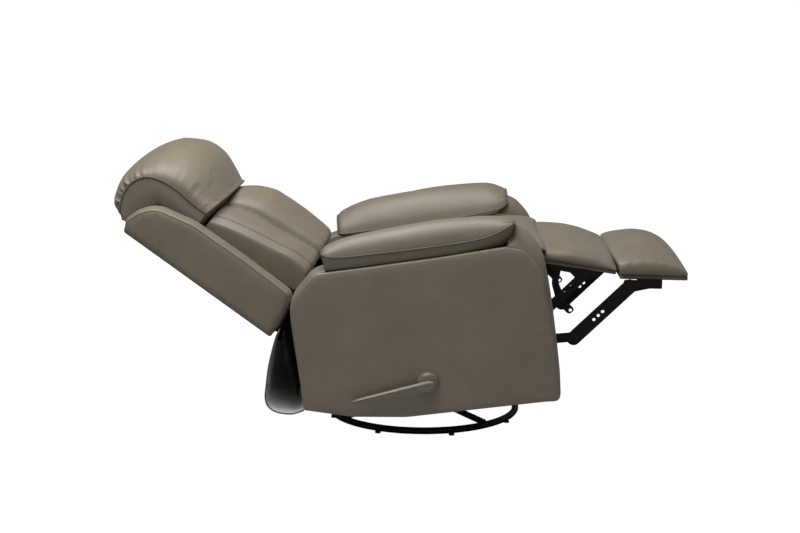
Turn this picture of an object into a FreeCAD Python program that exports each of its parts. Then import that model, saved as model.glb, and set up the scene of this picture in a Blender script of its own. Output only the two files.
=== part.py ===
import FreeCAD, Part
import math
import os
import Sketcher
from FreeCAD import Placement, Rotation, Vector

# Swivel glider recliner, reclined with the footrest out. Millimetres.
# World frame: origin on the floor at the centre of the ring base, +X is the
# way the sitter faces, +Z is up and +Y is the sitter's left.
# The seat body, the footrest and its linkage are drawn in a level frame that
# is tipped back as one, and the backrest in its own frame at the back hinge.

SIZES = {
    # pose of the whole body
    "body_tilt": 7.0,
    "tilt_height": 200.0,
    "back_slope": 43.3,
    # ring base
    "ring_radius": 305.0,
    "ring_tube": 11.0,
    "foot_height": 5.8,
    "foot_radius": 9.0,
    "foot_count": 8,
    "foot_turn": -27.0,
    "arm_bar_width": 34.0,
    "arm_bar_thick": 5.0,
    "arm_bar_turn": 38.5,
    "hub_radius": 62.0,
    "hub_thick": 5.0,
    "hub_low": 48.0,
    "weld_gap": 0.2,
    # swivel bearing
    "race_radius": 75.0,
    "race_hole": 30.0,
    "race_thick": 5.0,
    "ball_radius": 4.0,
    "ball_ring": 55.0,
    "ball_count": 12,
    "ball_play": 0.4,
    "king_radius": 8.0,
    "king_head": 13.0,
    "king_head_thick": 6.0,
    "run_play": 0.05,
    # glide carriage
    "carriage_length": 300.0,
    "carriage_width": 348.0,
    "carriage_thick": 4.0,
    "post_plate": 4.0,
    "post_base": 30.0,
    "tower_width": 36.0,
    "glide_span": 110.0,
    "glide_top": 225.0,
    "glide_drop": 100.0,
    "glide_link_half": 14.0,
    "layer": 5.0,
    "link_plate": 4.0,
    "pin_radius": 5.0,
    "rail_length": 400.0,
    "rail_half": 12.0,
    "cross_tube": 10.0,
    "cross_tube_at": 188.0,
    "ear_half": 17.0,
    "tilt_pin_x": -40.0,
    "tilt_pin_z": 195.0,
    # seat body
    "arm_outer": 420.0,
    "arm_board": 12.0,
    "panel_rear": -368.0,
    "panel_front": 418.0,
    "panel_low": 97.0,
    "mech_plate": 4.0,
    "low_pin_x": 310.0,
    "low_pin_z": 263.0,
    "low_knee_x": 489.0,
    "low_knee_z": 257.0,
    "foot_pin_x": 672.0,
    "foot_pin_z": 395.0,
    "up_pin_x": 337.0,
    "up_pin_z": 370.0,
    "up_knee_x": 434.0,
    "up_knee_z": 367.0,
    "mid_pin_x": 532.0,
    "mid_pin_z": 442.0,
    "low_link_half": 15.0,
    "long_link_half": 22.0,
    "up_link_half": 14.0,
    "mid_link_half": 15.0,
    "drive_x": 22.0,
    "drive_z": 201.0,
    "drive_radius": 8.0,
    "box_tube": 25.0,
    "box_tube_low": 262.0,
    "rear_tube_x": -97.0,
    "front_tube_x": 52.0,
    "seat_half": 281.0,
    "seat_clear": 4.0,
    "deck_low": 466.0,
    "deck_thick": 24.0,
    "deck_rail": 25.0,
    "deck_half": 250.0,
    "deck_rear": -300.0,
    "deck_front": 352.0,
    "deck_cleat": 60.0,
    "spring_wire": 3.6,
    "spring_count": 5,
    "spring_turns": 15,
    "spring_swing": 22.0,
    "soft_gap": 0.4,
    # backrest
    "back_pin_x": -376.0,
    "back_pin_z": 500.0,
    "back_rear": -135.0,
    "back_board": 12.0,
    "back_low": -20.0,
    "back_tall": 520.0,
    "post_half": 275.0,
    "post_thick": 18.0,
    "post_front": -20.0,
    "wing_inner": 290.0,
    "wing_outer": 360.0,
    "lumbar_half": 268.0,
    "lumbar_seam": 150.0,
    "pillow_half": 288.0,
    "strap_width": 50.0,
    "strap_count": 4,
    # footrest
    "rest_half": 268.0,
    "board_half": 259.0,
    "mid_x": 419.0,
    "mid_z": 495.0,
    "mid_slope": 15.7,
    "mid_long": 222.0,
    "mid_board": 12.0,
    "foot_x": 646.0,
    "foot_z": 419.0,
    "foot_slope": 8.1,
    "foot_long": 207.0,
    "foot_board": 14.0,
    "flange_width": 42.0,
    "flange_thick": 3.0,
    # release lever
    "boss_radius": 34.0,
    "boss_thick": 18.0,
    "lever_length": 240.0,
    "lever_root": 17.0,
    "lever_tip": 8.0,
    "lever_thick": 14.0,
    "lever_drop": 6.0,
    # rear flap
    "skirt_thick": 4.0,
    "skirt_inset": 18.0,
}

doc = FreeCAD.newDocument("recliner")
sheet = doc.addObject("Spreadsheet::Sheet", "Sizes")
for row, (word, number) in enumerate(SIZES.items(), start=1):
    sheet.set("A%d" % row, word)
    sheet.set("B%d" % row, str(number))
    sheet.setAlias("B%d" % row, word)
doc.recompute()

RIGHT, LEFT = -1, 1
SIDES = {"right": RIGHT, "left": LEFT}
Y_AXIS = Vector(0, 1, 0)
PARTS = []


def size(word):
    return float(getattr(sheet, word))


def turn(degrees):
    return Rotation(Y_AXIS, degrees)


def shift(x=0.0, y=0.0, z=0.0):
    return Placement(Vector(x, y, z), Rotation())


WORLD = Placement()
BODY = (Placement(Vector(0, 0, size("tilt_height")), turn(-size("body_tilt")))
        * shift(z=-size("tilt_height")))
BACK = (BODY * Placement(Vector(size("back_pin_x"), 0, size("back_pin_z")),
                         turn(size("back_slope") - 90)))
MID_REST = BODY * Placement(Vector(size("mid_x"), 0, size("mid_z")), turn(size("mid_slope")))
FOOT_REST = BODY * Placement(Vector(size("foot_x"), 0, size("foot_z")), turn(size("foot_slope")))

LOW_PIN = (size("low_pin_x"), size("low_pin_z"))
LOW_KNEE = (size("low_knee_x"), size("low_knee_z"))
FOOT_PIN = (size("foot_pin_x"), size("foot_pin_z"))
UP_PIN = (size("up_pin_x"), size("up_pin_z"))
UP_KNEE = (size("up_knee_x"), size("up_knee_z"))
MID_PIN = (size("mid_pin_x"), size("mid_pin_z"))
DRIVE = (size("drive_x"), size("drive_z"))
HINGE = (0.0, 0.0)

# Layers of plates beside the seat, counted inwards from the arm's inner face.
ARM_INNER = size("seat_half") + size("seat_clear")
MECH_AT = ARM_INNER - size("mech_plate")
LOW_LINK_AT = MECH_AT - size("layer")
LONG_LINK_AT = LOW_LINK_AT - size("layer")
UP_LINK_AT = LONG_LINK_AT - size("layer")
MID_LINK_AT = UP_LINK_AT - size("layer")
MID_PLATE_AT = MID_LINK_AT - size("layer")
STRUT_AT = MID_PLATE_AT - size("layer")
FOOT_PLATE_AT = UP_LINK_AT

HUB_TOP = size("hub_low") + size("hub_thick")
RACE_TOP = HUB_TOP + size("race_thick")
BALL_AT = RACE_TOP + size("ball_play") + size("ball_radius")
UPPER_RACE = BALL_AT + size("ball_radius") + size("ball_play")
CARRIAGE_LOW = UPPER_RACE + size("race_thick")
CARRIAGE_TOP = CARRIAGE_LOW + size("carriage_thick")
RING_MID = size("foot_height") + size("weld_gap") + size("ring_tube")
POST_AT = size("carriage_width") / 2 - size("post_plate")
GLIDE_LINK_AT = POST_AT + size("layer")
CRADLE_AT = GLIDE_LINK_AT + size("layer")
TILT_EAR_AT = CRADLE_AT + size("layer")
GLIDE_LOW = size("glide_top") - size("glide_drop")


def keep(obj, label):
    obj.Label = label
    PARTS.append(obj)
    return obj


def bind(obj, **rules):
    for name, rule in rules.items():
        obj.setExpression(name, rule)
    return obj


def new(kind, name, **rules):
    return bind(doc.addObject(kind, name), **rules)


def place(obj, frame, x=0.0, y=0.0, z=0.0, rotation=None):
    obj.Placement = frame * Placement(Vector(x, y, z), rotation or Rotation())
    return obj


def origin_plane(body, role):
    for item in body.Origin.OriginFeatures:
        if item.Role == role:
            return item
    raise ValueError(role)


def corner_arc(before, corner, after, radius):
    """The tangent points and the middle of an arc that rounds a corner."""
    a = Vector(before[0] - corner[0], before[1] - corner[1], 0).normalize()
    b = Vector(after[0] - corner[0], after[1] - corner[1], 0).normalize()
    half = a.getAngle(b) / 2
    back = radius / math.tan(half)
    middle = (a + b).normalize()
    tip = Vector(corner[0], corner[1], 0)
    centre = tip + middle * (radius / math.sin(half))
    return tip + a * back, centre - middle * radius, tip + b * back


def outline_edges(points):
    """Lines and corner arcs through points; a third number rounds a corner."""
    count = len(points)
    rounded = []
    for i, point in enumerate(points):
        if len(point) > 2:
            rounded.append(corner_arc(points[i - 1], point, points[(i + 1) % count], point[2]))
        else:
            spot = Vector(point[0], point[1], 0)
            rounded.append((spot, None, spot))
    edges = []
    for i, (start, middle, end) in enumerate(rounded):
        if middle is not None:
            edges.append(Part.Arc(start, middle, end))
        following = rounded[(i + 1) % count][0]
        if (following - end).Length > 1e-6:
            edges.append(Part.LineSegment(end, following))
    return edges


def sketch_on(body, role, points, holes=()):
    """A sketch of an outline, its corners joined, with holes of bound radius."""
    sketch = body.newObject("Sketcher::SketchObject", "Outline")
    sketch.AttachmentSupport = [(origin_plane(body, role), "")]
    sketch.MapMode = "FlatFace"
    if points:
        sketch.addGeometry(outline_edges(points), False)
    for x, z, word in holes:
        circle = Part.Circle(Vector(x, z, 0), Vector(0, 0, 1), size(word) + size("run_play"))
        index = sketch.addGeometry(circle, False)
        rule = sketch.addConstraint(Sketcher.Constraint("Radius", index, circle.Radius))
        sketch.setExpression("Constraints[%d]" % rule, "Sizes.%s + Sizes.run_play" % word)
    return sketch


def pad(body, sketch, word, reverse=False):
    feature = body.newObject("PartDesign::Pad", "Pad")
    feature.Profile = sketch
    feature.Reversed = reverse
    feature.setExpression("Length", "Sizes." + word)
    body.Tip = feature
    return feature


def plate_body(side, frame, inner, word, points, holes=()):
    """An upright plate whose inner face is at a distance from the centre plane."""
    body = doc.addObject("PartDesign::Body", "Body")
    sketch = sketch_on(body, "XZ_Plane", points, holes)
    pad(body, sketch, word, side == LEFT)
    return place(body, frame, y=side * inner)


def plate(label, side, frame, inner, word, points, holes=()):
    return keep(plate_body(side, frame, inner, word, points, holes), label)


def bar_points(first, second, half, overrun=0.0, overrun_end=0.0):
    """A bar with full round ends about two pins."""
    along = Vector(second[0] - first[0], second[1] - first[1], 0).normalize()
    across = Vector(-along.y, along.x, 0)
    start = Vector(first[0], first[1], 0) - along * (half + overrun)
    end = Vector(second[0], second[1], 0) + along * (half + overrun_end)
    corners = [start - across * half, end - across * half, end + across * half, start + across * half]
    return [(c.x, c.y, half * 0.96) for c in corners]


def plate_pair(label, frame, inner, word, points, holes=()):
    """The same plate on the right and on the left, kept as one group."""
    pair = [plate_body(side, frame, inner, word, points, holes) for side in SIDES.values()]
    return group(label, pair)


def link_pair(label, inner, first, second, half_word, extra=(), overrun=0.0, overrun_end=0.0):
    holes = [(first[0], first[1], "pin_radius"), (second[0], second[1], "pin_radius")]
    points = bar_points(first, second, size(half_word), overrun, overrun_end)
    return plate_pair(label, BODY, inner, "link_plate", points, holes + list(extra))


def rod(name, radius_word, start, end, frame, at):
    """A round pin along Y from start to end, at a point of a frame."""
    low, high = min(start, end), max(start, end)
    pin = new("Part::Cylinder", name, Radius="Sizes." + radius_word)
    pin.Height = high - low
    place(pin, frame, at[0], low, at[1], Rotation(Vector(1, 0, 0), -90))
    return pin


def group(label, members):
    bundle = doc.addObject("Part::Compound", "Group")
    bundle.Links = members
    return keep(bundle, label)


def fused(label, members):
    bundle = doc.addObject("Part::MultiFuse", "Fuse")
    bundle.Shapes = members
    bundle.Refine = True
    return keep(bundle, label)


def block(name, frame, x, y, z):
    """A box between two places on each axis of a frame."""
    box = doc.addObject("Part::Box", name)
    box.Length = x[1] - x[0]
    box.Width = y[1] - y[0]
    box.Height = z[1] - z[0]
    return place(box, frame, x[0], y[0], z[0])


def mirrored_range(side, inner, outer):
    return (inner, outer) if side == LEFT else (-outer, -inner)


def crowned_wire(axis, at, side_low, side_high, low, edge, crown):
    """A closed section: flat base, two short sides and an arc for the crown."""
    def spot(y, height):
        return Vector(at, y, height) if axis == "x" else Vector(height, y, at)
    middle = (side_low + side_high) / 2
    base_a, base_b = spot(side_low, low), spot(side_high, low)
    top_b, top_a = spot(side_high, edge), spot(side_low, edge)
    edges = [Part.LineSegment(base_a, base_b), Part.LineSegment(base_b, top_b),
             Part.Arc(top_b, spot(middle, crown), top_a), Part.LineSegment(top_a, base_a)]
    return Part.Wire([edge_curve.toShape() for edge_curve in edges])


def crowned(label, frame, axis, sections):
    """A soft form lofted through crowned sections along an axis of a frame."""
    wires = [crowned_wire(axis, *section) for section in sections]
    soft = doc.addObject("Part::Feature", "Soft")
    soft.Shape = Part.makeLoft(wires, True, True)
    soft.Placement = frame
    return keep(soft, label)


def base_parts():
    ring = new("Part::Torus", "Ring", Radius1="Sizes.ring_radius", Radius2="Sizes.ring_tube")
    keep(place(ring, WORLD, z=RING_MID), "base_ring")

    hub = new("Part::Cylinder", "Hub", Radius="Sizes.hub_radius", Height="Sizes.hub_thick")
    place(hub, WORLD, z=size("hub_low"))
    rise = size("hub_low") - (RING_MID + size("ring_tube") + size("weld_gap"))
    run = size("ring_radius") - size("hub_radius") * 0.8
    slope = math.degrees(math.atan2(rise, run))
    bars = []
    for quarter in range(4):
        bar = new("Part::Box", "Bar", Width="Sizes.arm_bar_width", Height="Sizes.arm_bar_thick")
        bar.Length = math.hypot(rise, run)
        heading = Rotation(Vector(0, 0, 1), size("arm_bar_turn") + 90 * quarter)
        root = Placement(Vector(), heading) * shift(size("hub_radius") * 0.8, 0, size("hub_low"))
        bar.Placement = root * Placement(Vector(), turn(slope)) * shift(y=-size("arm_bar_width") / 2)
        bars.append(bar)
    solid = doc.addObject("Part::MultiFuse", "Cross")
    solid.Shapes = [hub] + bars
    bore = new("Part::Cylinder", "Bore", Radius="Sizes.king_radius + Sizes.run_play")
    bore.Height = size("hub_low") + 2 * size("hub_thick")
    cut = doc.addObject("Part::Cut", "CrossCut")
    cut.Base = solid
    cut.Tool = bore
    keep(cut, "base_cross_arms")

    feet = []
    for i in range(int(size("foot_count"))):
        foot = new("Part::Cylinder", "Foot", Radius="Sizes.foot_radius", Height="Sizes.foot_height")
        angle = math.radians(size("foot_turn") + 360 * i / size("foot_count"))
        reach = size("ring_radius")
        feet.append(place(foot, WORLD, reach * math.cos(angle), reach * math.sin(angle)))
    group("base_feet", feet)


def swivel_parts():
    washer("swivel_lower_race", HUB_TOP, "race_hole")
    washer("swivel_upper_race", UPPER_RACE, "race_hole")
    balls = []
    for i in range(int(size("ball_count"))):
        ball = new("Part::Sphere", "Ball", Radius="Sizes.ball_radius")
        angle = math.radians(360 * i / size("ball_count"))
        reach = size("ball_ring")
        balls.append(place(ball, WORLD, reach * math.cos(angle), reach * math.sin(angle), BALL_AT))
    group("swivel_bearing_balls", balls)

    shank = new("Part::Cylinder", "Shank", Radius="Sizes.king_radius")
    shank.Height = CARRIAGE_TOP + 2 * size("king_head_thick") - size("hub_low")
    place(shank, WORLD, z=size("hub_low"))
    heads = []
    for height in (size("hub_low") - size("king_head_thick"), CARRIAGE_TOP + size("ball_play")):
        head = new("Part::Cylinder", "Head", Radius="Sizes.king_head", Height="Sizes.king_head_thick")
        heads.append(place(head, WORLD, z=height))
    fused("swivel_king_bolt", [shank] + heads)


def washer(label, low, hole_word):
    """A flat bearing race with a hole, revolved about the swivel axis."""
    body = doc.addObject("PartDesign::Body", "Race")
    inner, outer, thick = size(hole_word), size("race_radius"), size("race_thick")
    sketch = sketch_on(body, "XZ_Plane", [(inner, 0), (outer, 0), (outer, thick), (inner, thick)])
    spin = body.newObject("PartDesign::Revolution", "Spin")
    spin.Profile = sketch
    spin.ReferenceAxis = (sketch, ["V_Axis"])
    spin.Angle = 360
    body.Tip = spin
    place(body, WORLD, z=low)
    return keep(body, label)


def carriage_parts():
    half_long, half_wide = size("carriage_length") / 2, size("carriage_width") / 2
    body = doc.addObject("PartDesign::Body", "Carriage")
    corners = [(-half_long, -half_wide), (half_long, -half_wide),
               (half_long, half_wide), (-half_long, half_wide)]
    sketch = sketch_on(body, "XY_Plane", corners, [(0, 0, "king_radius")])
    pad(body, sketch, "carriage_thick")
    place(body, WORLD, z=CARRIAGE_LOW)

    span, half = size("glide_span"), size("tower_width") / 2
    base = CARRIAGE_TOP + size("post_base")
    top = size("glide_top") + half
    tower = [(-half_long, CARRIAGE_LOW), (half_long, CARRIAGE_LOW), (half_long, base)]
    for middle in (span, -span):
        tower += [(middle + half, base, 8), (middle + half, top, 15),
                  (middle - half, top, 15), (middle - half, base, 8)]
    tower.append((-half_long, base))
    pins = [(x, size("glide_top"), "pin_radius") for x in (-span, span)]
    towers = [plate_body(side, WORLD, POST_AT, "post_plate", tower, pins) for side in SIDES.values()]
    fused("carriage_frame", [body] + towers)
    tops = []
    for side in SIDES.values():
        for x in (-span, span):
            tops.append(rod("TopPin", "pin_radius", side * POST_AT,
                            side * (GLIDE_LINK_AT + size("link_plate")), WORLD, (x, size("glide_top"))))
    group("glide_top_pins", tops)


def glide_parts():
    for place_name, x in (("front", size("glide_span")), ("rear", -size("glide_span"))):
        holes = [(x, size("glide_top"), "pin_radius"), (x, GLIDE_LOW, "pin_radius")]
        points = bar_points((x, size("glide_top")), (x, GLIDE_LOW), size("glide_link_half"))
        plate_pair("glide_links_" + place_name, WORLD, GLIDE_LINK_AT, "link_plate", points, holes)

    half_rail, half, ear = size("rail_length") / 2, size("rail_half"), size("ear_half")
    x, z = size("tilt_pin_x"), size("tilt_pin_z")
    rail = [(-half_rail, GLIDE_LOW - half), (half_rail, GLIDE_LOW - half),
            (half_rail, GLIDE_LOW + half), (x + 2 * ear, GLIDE_LOW + half, 20),
            (x + ear, z, 5), (x + ear, z + ear, 14), (x - ear, z + ear, 14), (x - ear, z, 5),
            (x - 2 * ear, GLIDE_LOW + half, 20), (-half_rail, GLIDE_LOW + half)]
    pins = [(-size("glide_span"), GLIDE_LOW, "pin_radius"), (size("glide_span"), GLIDE_LOW, "pin_radius"),
            (x, z, "pin_radius")]
    plate_pair("cradle_rails", WORLD, CRADLE_AT, "link_plate", rail, pins)
    tubes = []
    for x in (-size("cross_tube_at"), size("cross_tube_at")):
        tubes.append(rod("CrossTube", "cross_tube", -CRADLE_AT, CRADLE_AT, WORLD, (x, GLIDE_LOW)))
    group("cradle_cross_tubes", tubes)
    for place_name, x in (("front", size("glide_span")), ("rear", -size("glide_span"))):
        pins = []
        for side in SIDES.values():
            pins.append(rod("LowPin", "pin_radius", side * GLIDE_LINK_AT,
                            side * (CRADLE_AT + size("link_plate")), WORLD, (x, GLIDE_LOW)))
        group("glide_low_pins_" + place_name, pins)
    pins = []
    for side in SIDES.values():
        pins.append(rod("TiltPin", "pin_radius", side * CRADLE_AT,
                        side * (TILT_EAR_AT + size("link_plate")), WORLD,
                        (size("tilt_pin_x"), size("tilt_pin_z"))))
    group("tilt_pins", pins)


def panel_outline():
    """Side of the seat body: flat low edge that rises behind, rounded shoulders."""
    rear, front, low = size("panel_rear"), size("panel_front"), size("panel_low")
    return [(rear, low + 58, 8), (rear + 145, low + 20, 200), (rear + 310, low, 300), (front - 50, low, 200),
            (front - 2, low - 3, 20), (front + 1, low + 90, 250), (front - 2, 350, 300),
            (front - 14, 500, 160), (front - 62, 572, 52), (301, panel_top(301)), (89, panel_top(89)),
            (-150, panel_top(-150)), (-280, panel_top(-280), 60), (rear + 8, 500, 60), (rear, 430, 200)]


def panel_top(x):
    """Height of the seat body's upper edge at a place along it."""
    edge = [(-280, 573), (-150, 574), (89, 579), (301, 588), (341, 592)]
    for (start, low), (end, high) in zip(edge, edge[1:]):
        if x <= end:
            return low + (high - low) * (x - start) / (end - start)
    return edge[-1][1]


def tilt_level():
    """The tilt pin as the level frame sees it."""
    spot = BODY.inverse().multVec(Vector(size("tilt_pin_x"), 0, size("tilt_pin_z")))
    return spot.x, spot.z


def seat_body_parts():
    inner, board = ARM_INNER, size("arm_board")
    outline = panel_outline()
    inner_panels, frames = [], []
    for name, side in SIDES.items():
        hole = [(DRIVE[0], DRIVE[1], "drive_radius")] if side == RIGHT else []
        plate("arm_outer_panel_" + name, side, BODY, size("arm_outer") - board, "arm_board", outline, hole)
        inner_panels.append(plate_body(side, BODY, inner, "arm_board", outline, hole))

        gap = mirrored_range(side, inner + board, size("arm_outer") - board)
        rear, front = size("panel_rear"), size("panel_front")
        boards = [block("Post", BODY, (front - 66, front - 44), gap, (160, 438)),
                  block("Post", BODY, (rear + 3, rear + 25), gap, (160, 480)),
                  block("Rail", BODY, (rear + 3, front - 44), gap, (160, 182)),
                  block("Rail", BODY, (rear + 68, 290), gap, (535, 560)),
                  block("Strut", BODY, (rear + 68, rear + 90), gap, (182, 535)),
                  block("Strut", BODY, (268, 290), gap, (182, 535))]
        frame = doc.addObject("Part::MultiFuse", "ArmFrame")
        frame.Shapes = boards
        frame.Refine = True
        frames.append(frame)
        arm_front_band(name, side)
        arm_pad(name, side)
    group("arm_inner_panels", inner_panels)
    group("arm_frames", frames)

    holes = [(LOW_PIN[0], LOW_PIN[1], "pin_radius"), (UP_PIN[0], UP_PIN[1], "pin_radius"),
             (DRIVE[0], DRIVE[1], "drive_radius")]
    mech = [(-200, 256, 12), (-10, 178, 20), (54, 178, 20), (LOW_PIN[0] + 22, LOW_PIN[1] - 24, 14),
            (UP_PIN[0] + 18, UP_PIN[1] + 18, 14), (UP_PIN[0] - 60, UP_PIN[1] + 18, 14),
            (60, 305, 20), (-200, 305, 12)]
    plate_pair("mechanism_plates", BODY, MECH_AT, "mech_plate", mech, holes)
    pins = []
    for side in SIDES.values():
        pins.append(rod("LowPin", "pin_radius", side * LOW_LINK_AT, side * ARM_INNER, BODY, LOW_PIN))
        pins.append(rod("UpPin", "pin_radius", side * UP_LINK_AT, side * ARM_INNER, BODY, UP_PIN))
    group("mechanism_pins", pins)

    tube, low = size("box_tube"), size("box_tube_low")
    tubes = []
    for x in (size("rear_tube_x"), size("front_tube_x")):
        tubes.append(block("BoxTube", BODY, (x - tube / 2, x + tube / 2), (-MECH_AT, MECH_AT),
                           (low, low + tube)))
    group("seat_cross_tubes", tubes)

    x, z = tilt_level()
    ear = size("ear_half")
    bracket = [(size("rear_tube_x") - tube / 2, low), (size("rear_tube_x") - tube / 2, low - 14),
               (x - ear, z, 5), (x - ear, z - ear, 14), (x + ear, z - ear, 14), (x + ear, z, 5),
               (size("front_tube_x") + tube / 2, low - 14), (size("front_tube_x") + tube / 2, low)]
    plate_pair("tilt_brackets", BODY, TILT_EAR_AT, "link_plate", bracket, [(x, z, "pin_radius")])
    deck_parts()
    rear_parts()


def arm_front_band(name, side):
    """Padded band over the front of an arm, its crown swelling past the boards."""
    inner, outer = ARM_INNER + size("arm_board"), size("arm_outer") - size("arm_board")
    inner, outer = inner + size("soft_gap"), outer - size("soft_gap")
    back = [(380, 122), (380, 320), (378, 440), (350, 528), (300, 566)]
    flush = [(312, 586), (341, 577), (343, 575), (358, 562), (378, 538), (393, 508), (402, 480),
             (411, 430), (416, 320), (417, 180), (413, 122)]
    crown = [(312, 588), (341, 592), (343, 655), (366, 652), (392, 622), (410, 575), (421, 500),
             (427, 430), (430, 320), (430, 180), (424, 122)]
    wires = []
    for share, swell in ((0, 0), (0.14, 0.55), (0.35, 0.95), (0.65, 0.95), (0.86, 0.55), (1, 0)):
        y = side * (inner + (outer - inner) * share)
        front = [(a[0] + (b[0] - a[0]) * swell, a[1] + (b[1] - a[1]) * swell)
                 for a, b in zip(flush, crown)]
        ring = [Vector(p[0], y, p[1]) for p in back + front]
        wires.append(Part.makePolygon(ring + ring[:1]))
    soft = doc.addObject("Part::Feature", "Soft")
    soft.Shape = Part.makeLoft(wires, True, True)
    soft.Placement = BODY
    keep(soft, "arm_front_band_" + name)


def arm_pad(name, side):
    """Padded arm top: boxed sides, a long crown and a swept-up front."""
    near, far = mirrored_range(side, ARM_INNER - 5, size("arm_outer"))
    gap = size("soft_gap")
    stations = [(-250, 0, 610, 618, 12), (-236, 0, 628, 642, 4), (-195, 0, 616, 656, 0),
                (-100, 0, 612, 668, 0), (50, 0, 612, 679, 0), (200, 0, 618, 680, 0),
                (280, 0, 634, 673, 0), (322, 2, 655, 668, 3), (338, 14, 646, 654, 12)]
    sections = [(x, near + pull, far - pull, panel_top(x) + lift + gap, edge, top)
                for x, lift, edge, top, pull in stations]
    crowned("arm_pad_" + name, BODY, "x", sections)


def deck_parts():
    low, thick = size("deck_low"), size("deck_thick")
    rear, front, rail, half = size("deck_rear"), size("deck_front"), size("deck_rail"), size("deck_half")
    inner, cleat = ARM_INNER, size("deck_cleat")
    boards = [block("Rail", BODY, (front - rail, front), (-half, half), (low, low + thick)),
              block("Rail", BODY, (rear, rear + rail), (-inner, inner), (low, low + thick))]
    for side in SIDES.values():
        boards.append(block("Rail", BODY, (rear, front), mirrored_range(side, half - rail, half),
                            (low, low + thick)))
        boards.append(block("Cleat", BODY, (-cleat, cleat), mirrored_range(side, half, inner),
                            (low, low + thick)))
    fused("seat_deck_frame", boards)

    springs = []
    wire, swing, turns = size("spring_wire"), size("spring_swing"), int(size("spring_turns"))
    start, end = rear + rail / 2, front - rail / 2
    step = (end - start) / turns
    count = int(size("spring_count"))
    for row in range(count):
        middle = (row - (count - 1) / 2) * (2 * half / count)
        path = [(start + step * i, middle + (swing if i % 2 else -swing)) for i in range(turns + 1)]
        ahead = [(x - wire, y) for x, y in path]
        behind = [(x + wire, y) for x, y in reversed(path)]
        body = doc.addObject("PartDesign::Body", "Spring")
        sketch = sketch_on(body, "XY_Plane", ahead + behind)
        pad(body, sketch, "spring_wire")
        springs.append(place(body, BODY, z=low + thick))
    group("seat_springs", springs)

    top = low + thick + size("spring_wire") + size("soft_gap")
    half = size("seat_half")
    stations = [(-306, top, top + 4, top + 6, 10), (-296, top, 498, 502, 0), (-200, top, 500, 506, 0),
                (-90, top, 512, 526, 0), (60, top, 532, 556, 0), (200, top, 552, 580, 0),
                (298, top, 566, 595, 0), (300, top + 12, 566, 595, 0), (338, top + 12, 567, 598, 0),
                (340, 553, 567, 598, 0), (359, 553, 568, 599, 0),
                (388, 554, 563, 592, 0), (404, 556, 559, 575, 10)]
    sections = [(x, pull - half, half - pull, base, edge, crown) for x, base, edge, crown, pull in stations]
    crowned("seat_cushion", BODY, "x", sections)


def rear_parts():
    inner, rear = ARM_INNER, size("panel_rear")
    keep(block("RearRail", BODY, (rear + 4, rear + 22), (-inner, inner), (156, 236)), "rear_rail")

    thick = size("skirt_thick")
    line = [(-426, 392), (-447, 338), (-470, 262), (-481, 214), (-477, 182), (-456, 162),
            (-414, 154), (rear - size("soft_gap"), 166)]
    inside = [(-422, 393), (-443, 339), (-466, 263), (-477, 214), (-473, 184), (-454, 166),
              (-413, 154 + thick), (rear - size("soft_gap"), 166 + thick)]
    body = doc.addObject("PartDesign::Body", "Skirt")
    sketch = sketch_on(body, "XZ_Plane", line + inside[::-1])
    cloth = body.newObject("PartDesign::Pad", "Pad")
    cloth.Profile = sketch
    cloth.Midplane = True
    cloth.setExpression("Length", "2 * (Sizes.arm_outer - Sizes.skirt_inset)")
    body.Tip = cloth
    place(body, BODY)
    keep(body, "rear_skirt")

    x, z = size("back_pin_x"), size("back_pin_z")
    front = size("deck_rear") - size("soft_gap")
    bracket = [(rear + 12, z - 60, 10), (front, z - 60, 10), (front, z - 4, 10),
               (x - 14, z + 14, 12), (x - 14, z - 14, 12)]
    plate_pair("back_hinge_brackets", BODY, MECH_AT, "mech_plate", bracket, [(x, z, "pin_radius")])
    pins = [rod("HingePin", "pin_radius", side * LOW_LINK_AT, side * ARM_INNER, BACK, HINGE)
            for side in SIDES.values()]
    group("back_hinge_pins", pins)


def back_parts():
    rear, board, low, tall = size("back_rear"), size("back_board"), size("back_low"), size("back_tall")
    post, thick, front = size("post_half"), size("post_thick"), size("post_front")
    inside = rear + board
    reach = (inside, front)
    boards = []
    for side in SIDES.values():
        boards.append(block("Post", BACK, reach, mirrored_range(side, post - thick, post), (low, tall - 20)))
    for height in (low + 40, tall - 44):
        boards.append(block("Rail", BACK, (front - 30, front), (-post, post), (height, height + 24)))
    fused("back_frame", boards)

    panel = block("RearPanel", BACK, (rear, inside), (-size("wing_inner"), size("wing_inner")),
                  (low, tall - 8))
    keep(panel, "back_rear_panel")

    straps = []
    count = int(size("strap_count"))
    first, last = low + 84, tall - 66
    for i in range(count):
        middle = first + (last - first) * (i + 0.5) / count
        straps.append(block("Strap", BACK, (front - 6, front - 3), (thick - post, post - thick),
                            (middle - size("strap_width") / 2, middle + size("strap_width") / 2)))
    group("back_webbing", straps)

    hinge = [(-60, low, 10), (-20, low, 10), (13, -13, 12), (13, 13, 12), (-20, 60, 20),
             (-24, 150, 10), (-60, 150, 10)]
    plate_pair("back_hinge_arms", BACK, post, "link_plate", hinge, [(0, 0, "pin_radius")])

    inner, outer = size("wing_inner"), size("wing_outer")
    stations = [(-22, -88, -80, 6), (-12, -26, -18, 2), (6, 2, 12, 0), (60, 8, 26, 0), (206, 8, 24, 0),
                (352, 4, 17, 0), (440, -3, 9, 0), (490, -22, -12, 0), (516, -52, -44, 3),
                (532, -94, -88, 8)]
    for name, side in SIDES.items():
        near, far = mirrored_range(side, inner, outer)
        crowned("back_wing_" + name, BACK, "z",
                [(z, near + pull, far - pull, rear, edge, crown) for z, edge, crown, pull in stations])

    lumbar_cushion(front, head_pillow(front))


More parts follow.
